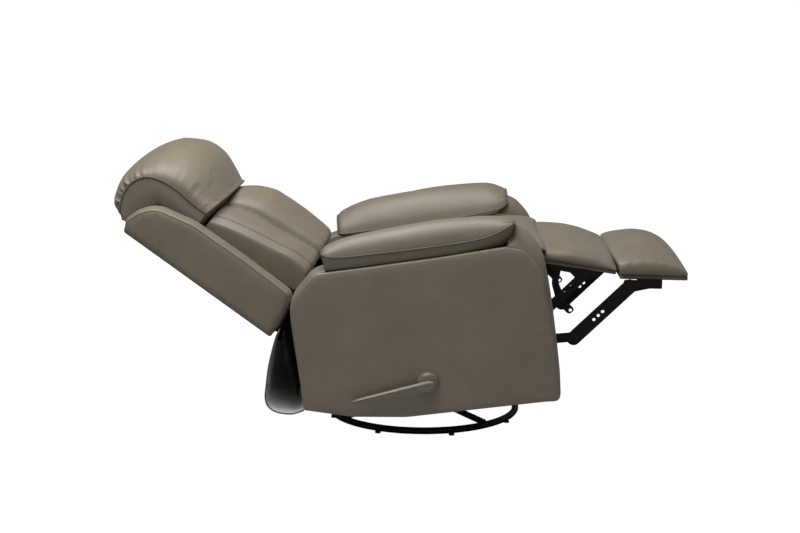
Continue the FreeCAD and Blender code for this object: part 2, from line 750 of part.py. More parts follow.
def head_pillow(front):
    """Pillow over the top of the back: drawn in at its side seams, full between them.

    Returns the height of its lower edge at the middle.
    """
    tall, half, gap = size("back_tall"), size("pillow_half"), size("soft_gap")
    rear = size("back_rear") + size("back_board") + gap
    seam = [(rear, 28), (-87, 60), (-38, 76), (-6, 72), (31, 47), (49, 2), (53, -53), (48, -107), (47, -166)]
    crown = [(rear, 42), (-112, 104), (-30, 138), (48, 117), (112, 78), (152, 37), (182, -26), (182, -95),
             (135, -192)]
    wires = []
    for share, swell in ((-1, 0), (-0.94, 0.42), (-0.72, 0.78), (0, 1), (0.72, 0.78), (0.94, 0.42), (1, 0)):
        outside = [(a[0] + (b[0] - a[0]) * swell, tall + a[1] + (b[1] - a[1]) * swell)
                   for a, b in zip(seam, crown)]
        low = outside[-1][1]
        inside = [(front + gap, low), (front + gap, tall - 8 + gap), (rear, tall - 8 + gap)]
        ring = [Vector(x, half * share, z) for x, z in outside + inside]
        wires.append(Part.makePolygon(ring + ring[:1]))
    soft = doc.addObject("Part::Feature", "Soft")
    soft.Shape = Part.makeLoft(wires, True, True)
    soft.Placement = BACK
    keep(soft, "head_pillow")
    return tall + crown[-1][1]


def lumbar_cushion(front, top):
    """Back cushion of three sewn channels, its middle one wide, under the head pillow."""
    half, seam, gap = size("lumbar_half"), size("lumbar_seam"), size("soft_gap")
    top -= gap
    swell = 12
    stations = [(-8, 70, 108, 150), (8, 86, 130, 181), (52, 89, 128, 186), (130, 77, 117, 191),
                (214, 62, 109, 187), (271, 50, 98, 166), (top - 10, 38, 84, 133), (top, 30, 72, 116)]
    wires = []
    for z, edge, groove, crown in stations:
        def spot(y, x):
            return Vector(x, y, z)
        middle, between = (half + seam) / 2, (edge + groove) / 2 + swell
        curves = [Part.LineSegment(spot(-half, front + gap), spot(half, front + gap)),
                  Part.LineSegment(spot(half, front + gap), spot(half, edge)),
                  Part.Arc(spot(half, edge), spot(middle, between), spot(seam, groove)),
                  Part.Arc(spot(seam, groove), spot(0, crown), spot(-seam, groove)),
                  Part.Arc(spot(-seam, groove), spot(-middle, between), spot(-half, edge)),
                  Part.LineSegment(spot(-half, edge), spot(-half, front + gap))]
        wires.append(Part.Wire([curve.toShape() for curve in curves]))
    soft = doc.addObject("Part::Feature", "Soft")
    soft.Shape = Part.makeLoft(wires, True, True)
    soft.Placement = BACK
    keep(soft, "lumbar_cushion")


def linkage_parts():
    link_pair("lower_inner_links", LOW_LINK_AT, LOW_PIN, LOW_KNEE, "low_link_half")
    link_pair("long_footrest_links", LONG_LINK_AT, LOW_KNEE, FOOT_PIN, "long_link_half",
              slots(LOW_KNEE, FOOT_PIN, (0.34, 0.42, 0.5)), 8)
    link_pair("upper_inner_links", UP_LINK_AT, UP_PIN, UP_KNEE, "up_link_half")
    link_pair("mid_footrest_links", MID_LINK_AT, UP_KNEE, MID_PIN, "mid_link_half",
              slots(UP_KNEE, MID_PIN, (0.4, 0.62)), 12, 6)
    pairs = (("lower_knee_rivets", LOW_KNEE, LONG_LINK_AT, LOW_LINK_AT),
             ("foot_pivot_rivets", FOOT_PIN, FOOT_PLATE_AT, LONG_LINK_AT),
             ("upper_knee_rivets", UP_KNEE, MID_LINK_AT, UP_LINK_AT),
             ("mid_pivot_rivets", MID_PIN, MID_PLATE_AT, MID_LINK_AT))
    for label, at, inner, outer in pairs:
        pins = [rod("Rivet", "pin_radius", side * inner, side * (outer + size("link_plate")), BODY, at)
                for side in SIDES.values()]
        group(label, pins)


def slots(first, second, shares):
    """Bare punched holes along a link."""
    return [(first[0] + (second[0] - first[0]) * share, first[1] + (second[1] - first[1]) * share,
             "pin_radius") for share in shares]


def local(frame, at):
    """A point of the level frame as one of the footrest frames sees it."""
    spot = (frame.inverse() * BODY).multVec(Vector(at[0], 0, at[1]))
    return spot.x, spot.z


def bracket(side, frame, inner, points, pin, flange):
    """An angle bracket: an upright plate and a flange under a board."""
    body = doc.addObject("PartDesign::Body", "Bracket")
    sketch = sketch_on(body, "XZ_Plane", points, [(pin[0], pin[1], "pin_radius")])
    pad(body, sketch, "link_plate", side == LEFT)
    thick = size("flange_thick")
    strip = [(flange[0], -thick), (flange[1], -thick), (flange[1], 0), (flange[0], 0)]
    pad(body, sketch_on(body, "XZ_Plane", strip), "flange_width", side == RIGHT)
    return place(body, frame, y=side * inner)


def footrest_parts():
    pin = local(FOOT_REST, FOOT_PIN)
    long = size("foot_long")
    plate_points = [(pin[0] - 18, pin[1] - 17, 16), (pin[0] + 14, pin[1] - 17, 14),
                    (pin[0] + 62, -26, 10), (long - 78, -26, 4), (long - 78, 0), (pin[0] - 20, 0, 8)]
    flange = (pin[0] + 24, long - 78)
    group("foot_brackets", [bracket(side, FOOT_REST, FOOT_PLATE_AT, plate_points, pin, flange)
                            for side in SIDES.values()])
    half = size("board_half")
    keep(block("FootBoard", FOOT_REST, (0, long), (-half, half), (0, size("foot_board"))), "foot_board")
    base = size("foot_board") + size("soft_gap")
    half = size("rest_half")
    stations = [(1, base, 34, 60, 6), (8, base, 44, 84, 0), (40, base, 46, 100, 0), (80, base, 46, 104, 0),
                (122, base, 46, 98, 0), (160, base, 42, 82, 0), (188, base, 36, 58, 2),
                (long, base, 24, 30, 8)]
    crowned("foot_pad", FOOT_REST, "x",
            [(x, pull - half, half - pull, low, edge, crown) for x, low, edge, crown, pull in stations])

    pin = local(MID_REST, MID_PIN)
    long = size("mid_long")
    plate_points = [(pin[0] - 16, pin[1] - 15, 14), (pin[0] + 16, pin[1] - 15, 14),
                    (pin[0] + 60, 0), (18, 0), (18, -14, 6), (pin[0] - 40, -16, 12)]
    flange = (24, pin[0] + 56)
    group("mid_brackets", [bracket(side, MID_REST, MID_PLATE_AT, plate_points, pin, flange)
                           for side in SIDES.values()])
    strut = [(30, -4, 6), (54, -4, 6), (52, -52, 30), (84, -104, 20), (120, -132, 10),
             (100, -148, 10), (58, -118, 20), (32, -60, 40)]
    plate_pair("mid_struts", MID_REST, STRUT_AT, "link_plate", strut, [(104, -134, "pin_radius")])
    half = size("board_half")
    keep(block("MidBoard", MID_REST, (0, long), (-half, half), (0, size("mid_board"))), "mid_board")
    base = size("mid_board") + size("soft_gap")
    half = size("rest_half")
    stations = [(0, base, 24, 60, 6), (10, base, 30, 74, 0), (50, base, 36, 81, 0), (110, base, 38, 80, 0),
                (168, base, 30, 66, 0), (205, base, 22, 44, 2), (long, base, 18, 26, 8)]
    crowned("mid_pad", MID_REST, "x",
            [(x, pull - half, half - pull, low, edge, crown) for x, low, edge, crown, pull in stations])


def lever_parts():
    outer, play = size("arm_outer"), size("soft_gap")
    body = doc.addObject("PartDesign::Body", "Lever")
    boss = sketch_on(body, "XZ_Plane", (), [])
    ring = boss.addGeometry(Part.Circle(Vector(0, 0, 0), Vector(0, 0, 1), size("boss_radius")), False)
    rule = boss.addConstraint(Sketcher.Constraint("Radius", ring, size("boss_radius")))
    boss.setExpression("Constraints[%d]" % rule, "Sizes.boss_radius")
    pad(body, boss, "boss_thick")
    root, tip, long = size("lever_root"), size("lever_tip"), size("lever_length")
    drop = math.radians(size("lever_drop"))
    along = Vector(-math.cos(drop), -math.sin(drop), 0)
    across = Vector(-along.y, along.x, 0)
    heel = Vector(0, -size("lever_tip"), 0) - along * root
    end = heel + along * (long + root)
    corners = [heel + across * root, end + across * tip, end - across * tip, heel - across * root]
    rounds = [root * 0.7, tip * 0.7, tip * 0.7, root * 0.7]
    blade = sketch_on(body, "XZ_Plane", [(c.x, c.y, r) for c, r in zip(corners, rounds)])
    blade.AttachmentOffset = shift(z=size("boss_thick"))
    pad(body, blade, "lever_thick")
    place(body, BODY, DRIVE[0], -(outer + play), DRIVE[1])
    keep(body, "release_lever")

    tube = rod("DriveTube", "drive_radius", -(outer + play), MECH_AT + size("mech_plate"), BODY, DRIVE)
    keep(tube, "drive_tube")


def check_document():
    doc.recompute()
    for obj in doc.Objects:
        bad = [word for word in obj.State if word in ("Invalid", "Error")]
        if bad:
            raise RuntimeError("%s (%s): %s" % (obj.Name, obj.Label, bad))
    for part in PARTS:
        if part.Shape.isNull() or not part.Shape.isValid() or not part.Shape.Solids:
            raise RuntimeError("bad shape: " + part.Label)
    labels = [part.Label for part in PARTS]
    if len(set(labels)) != len(labels):
        raise RuntimeError("two sub-parts share a label")


base_parts()
swivel_parts()
carriage_parts()
glide_parts()
seat_body_parts()
back_parts()
linkage_parts()
footrest_parts()
lever_parts()
check_document()
os.makedirs("parts", exist_ok=True)
for part in PARTS:
    part.Shape.exportStep(os.path.join("parts", part.Label + ".step"))
print("sub-parts written:", len(PARTS))
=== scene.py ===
import math

import bpy
import numpy as np
from mathutils import Matrix, Vector
from mathutils.geometry import delaunay_2d_cdt
from mathutils.kdtree import KDTree

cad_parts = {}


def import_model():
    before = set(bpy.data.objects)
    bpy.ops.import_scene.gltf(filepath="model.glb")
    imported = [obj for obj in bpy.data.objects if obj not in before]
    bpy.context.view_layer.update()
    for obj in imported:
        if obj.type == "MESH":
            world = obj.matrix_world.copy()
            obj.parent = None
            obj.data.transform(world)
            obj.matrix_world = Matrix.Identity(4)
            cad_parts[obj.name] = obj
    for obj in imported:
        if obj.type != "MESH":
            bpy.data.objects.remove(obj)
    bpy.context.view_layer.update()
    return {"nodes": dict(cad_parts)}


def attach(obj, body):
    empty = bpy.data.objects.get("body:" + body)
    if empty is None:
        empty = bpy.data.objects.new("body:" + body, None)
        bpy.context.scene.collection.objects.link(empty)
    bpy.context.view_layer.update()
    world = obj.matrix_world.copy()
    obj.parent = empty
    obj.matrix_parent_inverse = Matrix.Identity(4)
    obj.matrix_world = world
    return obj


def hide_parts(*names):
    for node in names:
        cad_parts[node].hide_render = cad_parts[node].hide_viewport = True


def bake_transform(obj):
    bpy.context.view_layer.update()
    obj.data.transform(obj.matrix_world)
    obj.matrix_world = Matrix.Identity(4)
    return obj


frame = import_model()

# Leather swivel glider recliner. Shapes are given in millimetres in the chair's own level frame, which is
# tipped back with the seat body, or in the backrest's frame, with z up the back and x out of its front.

NODES = frame["nodes"]
SCENE = bpy.context.scene


def turned(degrees):
    return Matrix.Rotation(math.radians(degrees), 4, "Y")


def moved(x, y, z):
    return Matrix.Translation((x, y, z))


LEVEL = moved(0, 0, 200) @ turned(-7) @ moved(0, 0, -200)
BACK = LEVEL @ moved(-376, 0, 500) @ turned(43.3 - 90)
MID_REST = LEVEL @ moved(419, 0, 495) @ turned(15.7)
FOOT_REST = LEVEL @ moved(646, 0, 419) @ turned(8.1)
FLAT = Matrix.Identity(4)

ARM_INNER, ARM_OUTER, BOARD = 285.0, 420.0, 12.0
PANEL_EDGE = [(-280, 573), (-150, 574), (89, 579), (301, 588), (341, 592)]


def world(points, place):
    """Millimetres in a frame of the chair to metres in the row frame."""
    m = np.array(place)
    return (np.asarray(points, float) @ m[:3, :3].T + m[:3, 3]) / 1000


# Curves through points

def smooth(table, at):
    """Columns of a table read smoothly at places along its first column."""
    table = np.asarray(table, float)
    x, y = table[:, 0], table[:, 1:]
    at = np.clip(np.asarray(at, float), x[0], x[-1])
    step, rise = np.diff(x), np.diff(y, axis=0)
    slope = rise / step[:, None]
    tangent = np.zeros_like(y)
    tangent[0], tangent[-1] = slope[0], slope[-1]
    for i in range(1, len(x) - 1):
        same = slope[i - 1] * slope[i] > 0
        w1, w2 = 2 * step[i] + step[i - 1], step[i] + 2 * step[i - 1]
        with np.errstate(divide="ignore", invalid="ignore"):
            mean = (w1 + w2) / (w1 / slope[i - 1] + w2 / slope[i])
        tangent[i] = np.where(same, mean, 0)
    k = np.clip(np.searchsorted(x, at, side="right") - 1, 0, len(x) - 2)
    s = ((at - x[k]) / step[k])[..., None]
    span = step[k][..., None]
    out = ((2 * s**3 - 3 * s**2 + 1) * y[k] + (s**3 - 2 * s**2 + s) * span * tangent[k]
           + (3 * s**2 - 2 * s**3) * y[k + 1] + (s**3 - s**2) * span * tangent[k + 1])
    return out[..., 0] if out.shape[-1] == 1 else out


def through(points, count, closed=False):
    """Points evenly spaced along a smooth curve through the given ones."""
    p = np.asarray(points, float)
    if closed:
        p = np.vstack([p, p[:1]])
    length = np.r_[0, np.cumsum(np.maximum(np.linalg.norm(np.diff(p, axis=0), axis=1), 1e-6))]
    n = len(p)
    tangent = np.zeros_like(p)
    for i in range(n):
        a, b = (i - 1, i + 1)
        if closed and i in (0, n - 1):
            before, after = p[-2], p[1]
            width = (length[-1] - length[-2]) + length[1]
        else:
            a, b = max(a, 0), min(b, n - 1)
            before, after, width = p[a], p[b], length[b] - length[a]
        tangent[i] = (after - before) / width
    fine = np.linspace(0, length[-1], max(count * 6, 400))
    k = np.clip(np.searchsorted(length, fine, side="right") - 1, 0, n - 2)
    span = (length[k + 1] - length[k])[:, None]
    s = ((fine - length[k]) / span[:, 0])[:, None]
    curve = ((2 * s**3 - 3 * s**2 + 1) * p[k] + (s**3 - 2 * s**2 + s) * span * tangent[k]
             + (3 * s**2 - 2 * s**3) * p[k + 1] + (s**3 - s**2) * span * tangent[k + 1])
    run = np.r_[0, np.cumsum(np.linalg.norm(np.diff(curve, axis=0), axis=1))]
    spots = np.linspace(0, run[-1], count + 1)[:-1] if closed else np.linspace(0, run[-1], count)
    return np.stack([np.interp(spots, run, curve[:, i]) for i in range(p.shape[1])], axis=1)


def rounded(points, count):
    """A closed outline with its corners cut round; a third number is the corner's radius."""
    corners, n = [], len(points)
    for i, point in enumerate(points):
        here = np.array(point[:2], float)
        if len(point) < 3:
            corners.append([here])
            continue
        before = np.array(points[i - 1][:2], float) - here
        after = np.array(points[(i + 1) % n][:2], float) - here
        a, b = before / np.linalg.norm(before), after / np.linalg.norm(after)
        half = math.acos(max(-1, min(1, float(a @ b)))) / 2
        back = min(point[2] / math.tan(half), 0.5 * min(np.linalg.norm(before), np.linalg.norm(after)))
        start, end = here + a * back, here + b * back
        t = np.linspace(0, 1, 9)[:, None]
        corners.append(list((1 - t)**2 * start + 2 * t * (1 - t) * here + t**2 * end))
    line = np.array([spot for corner in corners for spot in corner])
    line = np.vstack([line, line[:1]])
    run = np.r_[0, np.cumsum(np.linalg.norm(np.diff(line, axis=0), axis=1))]
    spots = np.linspace(0, run[-1], count + 1)[:-1]
    return np.stack([np.interp(spots, run, line[:, i]) for i in (0, 1)], axis=1)


def ripple(x, y, seed, octaves=3):
    """Smooth waves from sums of sines with fixed phases, about -1 to 1."""
    rng = np.random.default_rng(seed)
    total, weight = np.zeros(np.broadcast(x, y).shape), 0.0
    for octave in range(octaves):
        for _ in range(4):
            angle, phase = rng.uniform(0, 2 * math.pi, 2)
            scale = 2.0**octave * rng.uniform(0.7, 1.3)
            total = total + np.sin((x * math.cos(angle) + y * math.sin(angle)) * scale + phase) / 2**octave
        weight += 2.2 / 2**octave
    return total / weight


def puckers(along, seed, pitch=14.0):
    """Uneven ridges along a gathered seam, 0 to 1."""
    rng = np.random.default_rng(seed)
    wave = np.zeros_like(along)
    for _ in range(4):
        wave = wave + np.sin(along * 2 * math.pi / (pitch * rng.uniform(0.75, 1.5)) + rng.uniform(0, 6.28))
    return np.clip(wave / 2.6, -0.2, 1)


# Materials

def node(tree, kind, place=(0, 0), **values):
    made = tree.nodes.new(kind)
    made.location = place
    for key, value in values.items():
        if key in made.inputs:
            made.inputs[key].default_value = value
        else:
            setattr(made, key, value)
    return made


def ramp(tree, source, stops):
    made = tree.nodes.new("ShaderNodeValToRGB")
    while len(made.color_ramp.elements) < len(stops):
        made.color_ramp.elements.new(0.5)
    for element, (position, color) in zip(made.color_ramp.elements, stops):
        element.position = position
        element.color = (*color, 1)
    tree.links.new(source, made.inputs["Fac"])
    return made


def blank(name):
    material = bpy.data.materials.new(name)
    material.use_nodes = True
    tree = material.node_tree
    return material, tree, tree.nodes["Principled BSDF"]


def bumps(tree, layers, shader):
    """Bump nodes in a chain: (height socket, distance, strength) from coarse to fine."""
    last = None
    for height, distance, strength in layers:
        bump = node(tree, "ShaderNodeBump")
        bump.inputs["Distance"].default_value = distance
        bump.inputs["Strength"].default_value = strength
        tree.links.new(height, bump.inputs["Height"])
        if last:
            tree.links.new(last.outputs["Normal"], bump.inputs["Normal"])
        last = bump
    tree.links.new(last.outputs["Normal"], shader.inputs["Normal"])


def leather(name, color, rough=0.5, grain=1.0, crease=0.6):
    """Bonded leather: pebbled grain, soft creases, slight colour drift, and painted shade that darkens seams and
    creases where a piece asks for it.
    """
    material, tree, shader = blank(name)
    spot = node(tree, "ShaderNodeTexCoord").outputs["Object"]
    pebble = node(tree, "ShaderNodeTexVoronoi", feature="SMOOTH_F1", Scale=620.0, Smoothness=0.6)
    cells = node(tree, "ShaderNodeTexVoronoi", feature="DISTANCE_TO_EDGE", Scale=330.0)
    fine = node(tree, "ShaderNodeTexNoise", Scale=900.0, Detail=3.0)
    folds = node(tree, "ShaderNodeTexNoise", Scale=26.0, Detail=6.0, Roughness=0.55, Distortion=0.5)
    cloud = node(tree, "ShaderNodeTexNoise", Scale=6.0, Detail=3.0)
    for texture in (pebble, cells, fine, folds, cloud):
        tree.links.new(spot, texture.inputs["Vector"])
    # Painted shade: a per-point amount from each piece darkens the colour towards 0.42 of the base in seams, creases
    # and turned-in edges.
    painted_shade = tree.nodes.new("ShaderNodeAttribute")
    painted_shade.attribute_name = "painted_shade"
    base = np.array(color)
    tone = ramp(tree, cloud.outputs["Fac"], [(0.3, base * 0.93), (0.5, base), (0.72, base * 1.07)])
    mottled = ramp(tree, folds.outputs["Fac"], [(0.35, (0.94,) * 3), (0.6, (1.0,) * 3), (0.75, (1.05,) * 3)])
    mixed = node(tree, "ShaderNodeMix", data_type="RGBA", blend_type="MULTIPLY")
    mixed.inputs["Factor"].default_value = 1.0
    tree.links.new(tone.outputs["Color"], mixed.inputs[6])
    tree.links.new(mottled.outputs["Color"], mixed.inputs[7])
    shade_mix = node(tree, "ShaderNodeMix", data_type="RGBA", blend_type="MIX")
    tree.links.new(painted_shade.outputs["Fac"], shade_mix.inputs["Factor"])
    tree.links.new(mixed.outputs[2], shade_mix.inputs[6])
    shade_mix.inputs[7].default_value = (*(base * 0.42), 1)
    tree.links.new(shade_mix.outputs[2], shader.inputs["Base Color"])
    shine = node(tree, "ShaderNodeMapRange")
    shine.inputs["From Min"].default_value = 0.25
    shine.inputs["From Max"].default_value = 0.75
    shine.inputs["To Min"].default_value = rough - 0.05
    shine.inputs["To Max"].default_value = rough + 0.07
    tree.links.new(folds.outputs["Fac"], shine.inputs["Value"])
    tree.links.new(shine.outputs["Result"], shader.inputs["Roughness"])
    shader.inputs["Specular IOR Level"].default_value = 0.4
    shader.inputs["Sheen Weight"].default_value = 0.06
    shader.inputs["Sheen Roughness"].default_value = 0.4
    bumps(tree, [(folds.outputs["Fac"], 0.0012, 0.35 * crease), (cells.outputs["Distance"], 0.00035, 0.35 * grain),
                 (pebble.outputs["Distance"], 0.0002, 0.3 * grain), (fine.outputs["Fac"], 0.0001, 0.25 * grain)],
          shader)
    return material


def thread(name, color):
    material, tree, shader = blank(name)
    spot = node(tree, "ShaderNodeTexCoord").outputs["Object"]
    twist = node(tree, "ShaderNodeTexWave", Scale=900.0, Distortion=2.0, Detail=2.0)
    tree.links.new(spot, twist.inputs["Vector"])
    base = np.array(color)
    tone = ramp(tree, twist.outputs["Fac"], [(0.0, base * 0.75), (1.0, base * 1.15)])
    tree.links.new(tone.outputs["Color"], shader.inputs["Base Color"])
    shader.inputs["Roughness"].default_value = 0.6
    shader.inputs["Sheen Weight"].default_value = 0.3
    bumps(tree, [(twist.outputs["Fac"], 0.0003, 0.5)], shader)
    return material


def paint(name, color, rough=0.34, orange_peel=1.0):
    """Powder coat: faint orange peel and dust in the rough places."""
    material, tree, shader = blank(name)
    spot = node(tree, "ShaderNodeTexCoord").outputs["Object"]
    peel = node(tree, "ShaderNodeTexNoise", Scale=420.0, Detail=2.0)
    dust = node(tree, "ShaderNodeTexNoise", Scale=18.0, Detail=5.0, Roughness=0.6)
    for texture in (peel, dust):
        tree.links.new(spot, texture.inputs["Vector"])
    base = np.array(color)
    tone = ramp(tree, dust.outputs["Fac"], [(0.35, base * 0.8), (0.6, base), (0.8, base * 1.6 + 0.001)])
    tree.links.new(tone.outputs["Color"], shader.inputs["Base Color"])
    shine = node(tree, "ShaderNodeMapRange")
    shine.inputs["To Min"].default_value = rough - 0.06
    shine.inputs["To Max"].default_value = rough + 0.14
    tree.links.new(dust.outputs["Fac"], shine.inputs["Value"])
    tree.links.new(shine.outputs["Result"], shader.inputs["Roughness"])
    shader.inputs["Specular IOR Level"].default_value = 0.16
    bumps(tree, [(peel.outputs["Fac"], 0.00015, 0.35 * orange_peel)], shader)
    return material


def bright_metal(name):
    """Zinc-plated steel with fine turning marks."""
    material, tree, shader = blank(name)
    spot = node(tree, "ShaderNodeTexCoord").outputs["Object"]
    marks = node(tree, "ShaderNodeTexNoise", Scale=160.0, Detail=4.0, Distortion=0.4)
    stain = node(tree, "ShaderNodeTexNoise", Scale=14.0, Detail=4.0)
    for texture in (marks, stain):
        tree.links.new(spot, texture.inputs["Vector"])
    tone = ramp(tree, stain.outputs["Fac"], [(0.3, (0.42, 0.42, 0.41)), (0.7, (0.62, 0.62, 0.6))])
    tree.links.new(tone.outputs["Color"], shader.inputs["Base Color"])
    shader.inputs["Metallic"].default_value = 1.0
    shine = node(tree, "ShaderNodeMapRange")
    shine.inputs["To Min"].default_value = 0.25
    shine.inputs["To Max"].default_value = 0.5
    tree.links.new(marks.outputs["Fac"], shine.inputs["Value"])
    tree.links.new(shine.outputs["Result"], shader.inputs["Roughness"])
    bumps(tree, [(marks.outputs["Fac"], 0.0001, 0.3)], shader)
    return material


def plywood(name):
    """Plain sawn boards: long grain along the chair, with pores."""
    material, tree, shader = blank(name)
    spot = node(tree, "ShaderNodeTexCoord").outputs["Object"]
    stretch = node(tree, "ShaderNodeMapping")
    stretch.inputs["Scale"].default_value = (1.0, 9.0, 9.0)
    tree.links.new(spot, stretch.inputs["Vector"])
    rings = node(tree, "ShaderNodeTexNoise", Scale=7.0, Detail=8.0, Roughness=0.65, Distortion=0.8)
    pores = node(tree, "ShaderNodeTexNoise", Scale=90.0, Detail=3.0)
    for texture in (rings, pores):
        tree.links.new(stretch.outputs["Vector"], texture.inputs["Vector"])
    tone = ramp(tree, rings.outputs["Fac"], [(0.3, (0.36, 0.24, 0.13)), (0.5, (0.52, 0.38, 0.22)),
                                             (0.7, (0.62, 0.47, 0.29))])
    tree.links.new(tone.outputs["Color"], shader.inputs["Base Color"])
    shader.inputs["Roughness"].default_value = 0.68
    bumps(tree, [(rings.outputs["Fac"], 0.0006, 0.3), (pores.outputs["Fac"], 0.0003, 0.3)], shader)
    return material


def woven(name, color, pitch=420.0, rough=0.85, sheen=0.35):
    """Plain weave: crossing threads from two waves."""
    material, tree, shader = blank(name)
    spot = node(tree, "ShaderNodeTexCoord").outputs["Object"]
    over = node(tree, "ShaderNodeTexWave", wave_type="BANDS", bands_direction="Y", Scale=pitch)
    under = node(tree, "ShaderNodeTexWave", wave_type="BANDS", bands_direction="Z", Scale=pitch)
    fuzz = node(tree, "ShaderNodeTexNoise", Scale=60.0, Detail=5.0)
    for texture in (over, under, fuzz):
        tree.links.new(spot, texture.inputs["Vector"])
    weave = node(tree, "ShaderNodeMath", operation="MAXIMUM")
    tree.links.new(over.outputs["Fac"], weave.inputs[0])
    tree.links.new(under.outputs["Fac"], weave.inputs[1])
    base = np.array(color)
    tone = ramp(tree, fuzz.outputs["Fac"], [(0.3, base * 0.82), (0.7, base * 1.1)])
    tree.links.new(tone.outputs["Color"], shader.inputs["Base Color"])
    shader.inputs["Roughness"].default_value = rough
    shader.inputs["Sheen Weight"].default_value = sheen
    shader.inputs["Specular IOR Level"].default_value = 0.2
    bumps(tree, [(weave.outputs["Value"], 0.0004, 0.5), (fuzz.outputs["Fac"], 0.0004, 0.3)], shader)
    return material


def rubber(name):
    material, tree, shader = blank(name)
    spot = node(tree, "ShaderNodeTexCoord").outputs["Object"]
    scuff = node(tree, "ShaderNodeTexNoise", Scale=120.0, Detail=5.0)
    tree.links.new(spot, scuff.inputs["Vector"])
    tone = ramp(tree, scuff.outputs["Fac"], [(0.3, (0.012,) * 3), (0.75, (0.04,) * 3)])
    tree.links.new(tone.outputs["Color"], shader.inputs["Base Color"])
    shader.inputs["Roughness"].default_value = 0.75
    bumps(tree, [(scuff.outputs["Fac"], 0.0004, 0.4)], shader)
    return material


def moulded(name, color):
    """Moulded plastic with a fine spark-eroded grain."""
    material, tree, shader = blank(name)
    spot = node(tree, "ShaderNodeTexCoord").outputs["Object"]
    grain = node(tree, "ShaderNodeTexNoise", Scale=1500.0, Detail=2.0)
    cloud = node(tree, "ShaderNodeTexNoise", Scale=22.0, Detail=3.0)
    for texture in (grain, cloud):
        tree.links.new(spot, texture.inputs["Vector"])
    base = np.array(color)
    tone = ramp(tree, cloud.outputs["Fac"], [(0.3, base * 0.95), (0.7, base * 1.06)])
    tree.links.new(tone.outputs["Color"], shader.inputs["Base Color"])
    shader.inputs["Roughness"].default_value = 0.4
    shader.inputs["Specular IOR Level"].default_value = 0.45
    bumps(tree, [(grain.outputs["Fac"], 0.00012, 0.35)], shader)
    return material


TAUPE = (0.128, 0.1075, 0.078)
LEATHER = leather("taupe leather", TAUPE)
LEATHER_TAUT = leather("taut panel leather", tuple(c * 0.97 for c in TAUPE), rough=0.46, crease=0.35)
LEATHER_BOARD = leather("wrapped board leather", tuple(c * 0.9 for c in TAUPE), rough=0.48, crease=0.3)
# Welts and edge bindings at half the cover's tone: painted shade, so the seams and flap edges read as dark lines.
SHADED_WELT = leather("welt leather", tuple(c * 0.5 for c in TAUPE), rough=0.55, grain=0.6, crease=0.3)
THREAD = thread("taupe thread", tuple(c * 0.8 for c in TAUPE))
LINING = woven("pale flap lining", (0.5, 0.5, 0.49), pitch=300.0, sheen=0.1)
# Near-black cloth: painted shade for the dark openings behind and under the seat body.
SHADE_CLOTH = woven("near-black shade cloth", (0.003, 0.003, 0.0032), pitch=300.0, sheen=0.0)
WEBBING = woven("elastic webbing", (0.05, 0.05, 0.052), pitch=220.0)
BLACK = paint("black powder coat", (0.003, 0.003, 0.0032), rough=0.5)
ZINC = bright_metal("zinc plated steel")
WOOD = plywood("sawn plywood")
RUBBER = rubber("black rubber")
PLASTIC = moulded("taupe moulded plastic", tuple(c * 0.82 for c in TAUPE))


# Meshes

def mesh_piece(name, points, faces, material, painted_shade=None, body=None, sharp=False):
    mesh = bpy.data.meshes.new(name)
    mesh.from_pydata([tuple(p) for p in points], [], [tuple(int(i) for i in f) for f in faces])
    mesh.polygons.foreach_set("use_smooth", [not sharp] * len(mesh.polygons))
    # Stores the painted shade amount per point, which the leather material darkens its colour by.
    if painted_shade is not None:
        attribute = mesh.attributes.new("painted_shade", "FLOAT", "POINT")
        attribute.data.foreach_set("value", np.asarray(painted_shade, np.float32))
    mesh.materials.append(material)
    mesh.update()
    obj = bpy.data.objects.new(name, mesh)
    SCENE.collection.objects.link(obj)
    if body:
        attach(obj, body)
    return obj


def box_skin(us, vs, ws):
    """The skin of a box cut at the given shares: a row (u, v, w) a corner, and its outward faces."""
    nu, nv, nw = len(us) - 1, len(vs) - 1, len(ws) - 1
    grid = np.zeros((nu + 1, nv + 1, nw + 1), bool)
    grid[[0, -1]] = grid[:, [0, -1]] = grid[:, :, [0, -1]] = True
    number = -np.ones(grid.shape, int)
    number[grid] = np.arange(grid.sum())
    cell = np.argwhere(grid)
    shares = np.stack([np.asarray(us)[cell[:, 0]], np.asarray(vs)[cell[:, 1]], np.asarray(ws)[cell[:, 2]]], axis=1)
    faces = []

    def quads(sheet, flip):
        a, b, c, d = sheet[:-1, :-1], sheet[1:, :-1], sheet[1:, 1:], sheet[:-1, 1:]
        order = (a, d, c, b) if flip else (a, b, c, d)
        faces.append(np.stack([x.ravel() for x in order], axis=1))

    quads(number[:, :, -1], False)
    quads(number[:, :, 0], True)
    quads(number[-1], False)
    quads(number[0], True)
    quads(number[:, -1].T, False)
    quads(number[:, 0].T, True)
    return shares, np.vstack(faces)


def shares(count, ends=0.0):
    """Cuts from 0 to 1, closer together near both ends."""
    t = np.linspace(0, 1, count + 1)
    return t - ends * np.sin(2 * math.pi * t) / (2 * math.pi)


def vertex_normals(points, faces):
    faces = np.asarray(faces)
    a, b, c = points[faces[:, 0]], points[faces[:, 1]], points[faces[:, 2]]
    normal = np.cross(b - a, c - a)
    if faces.shape[1] == 4:
        normal = normal + np.cross(c - a, points[faces[:, 3]] - a)
    out = np.zeros_like(points)
    for i in range(faces.shape[1]):
        np.add.at(out, faces[:, i], normal)
    return out / np.maximum(np.linalg.norm(out, axis=1, keepdims=True), 1e-12)


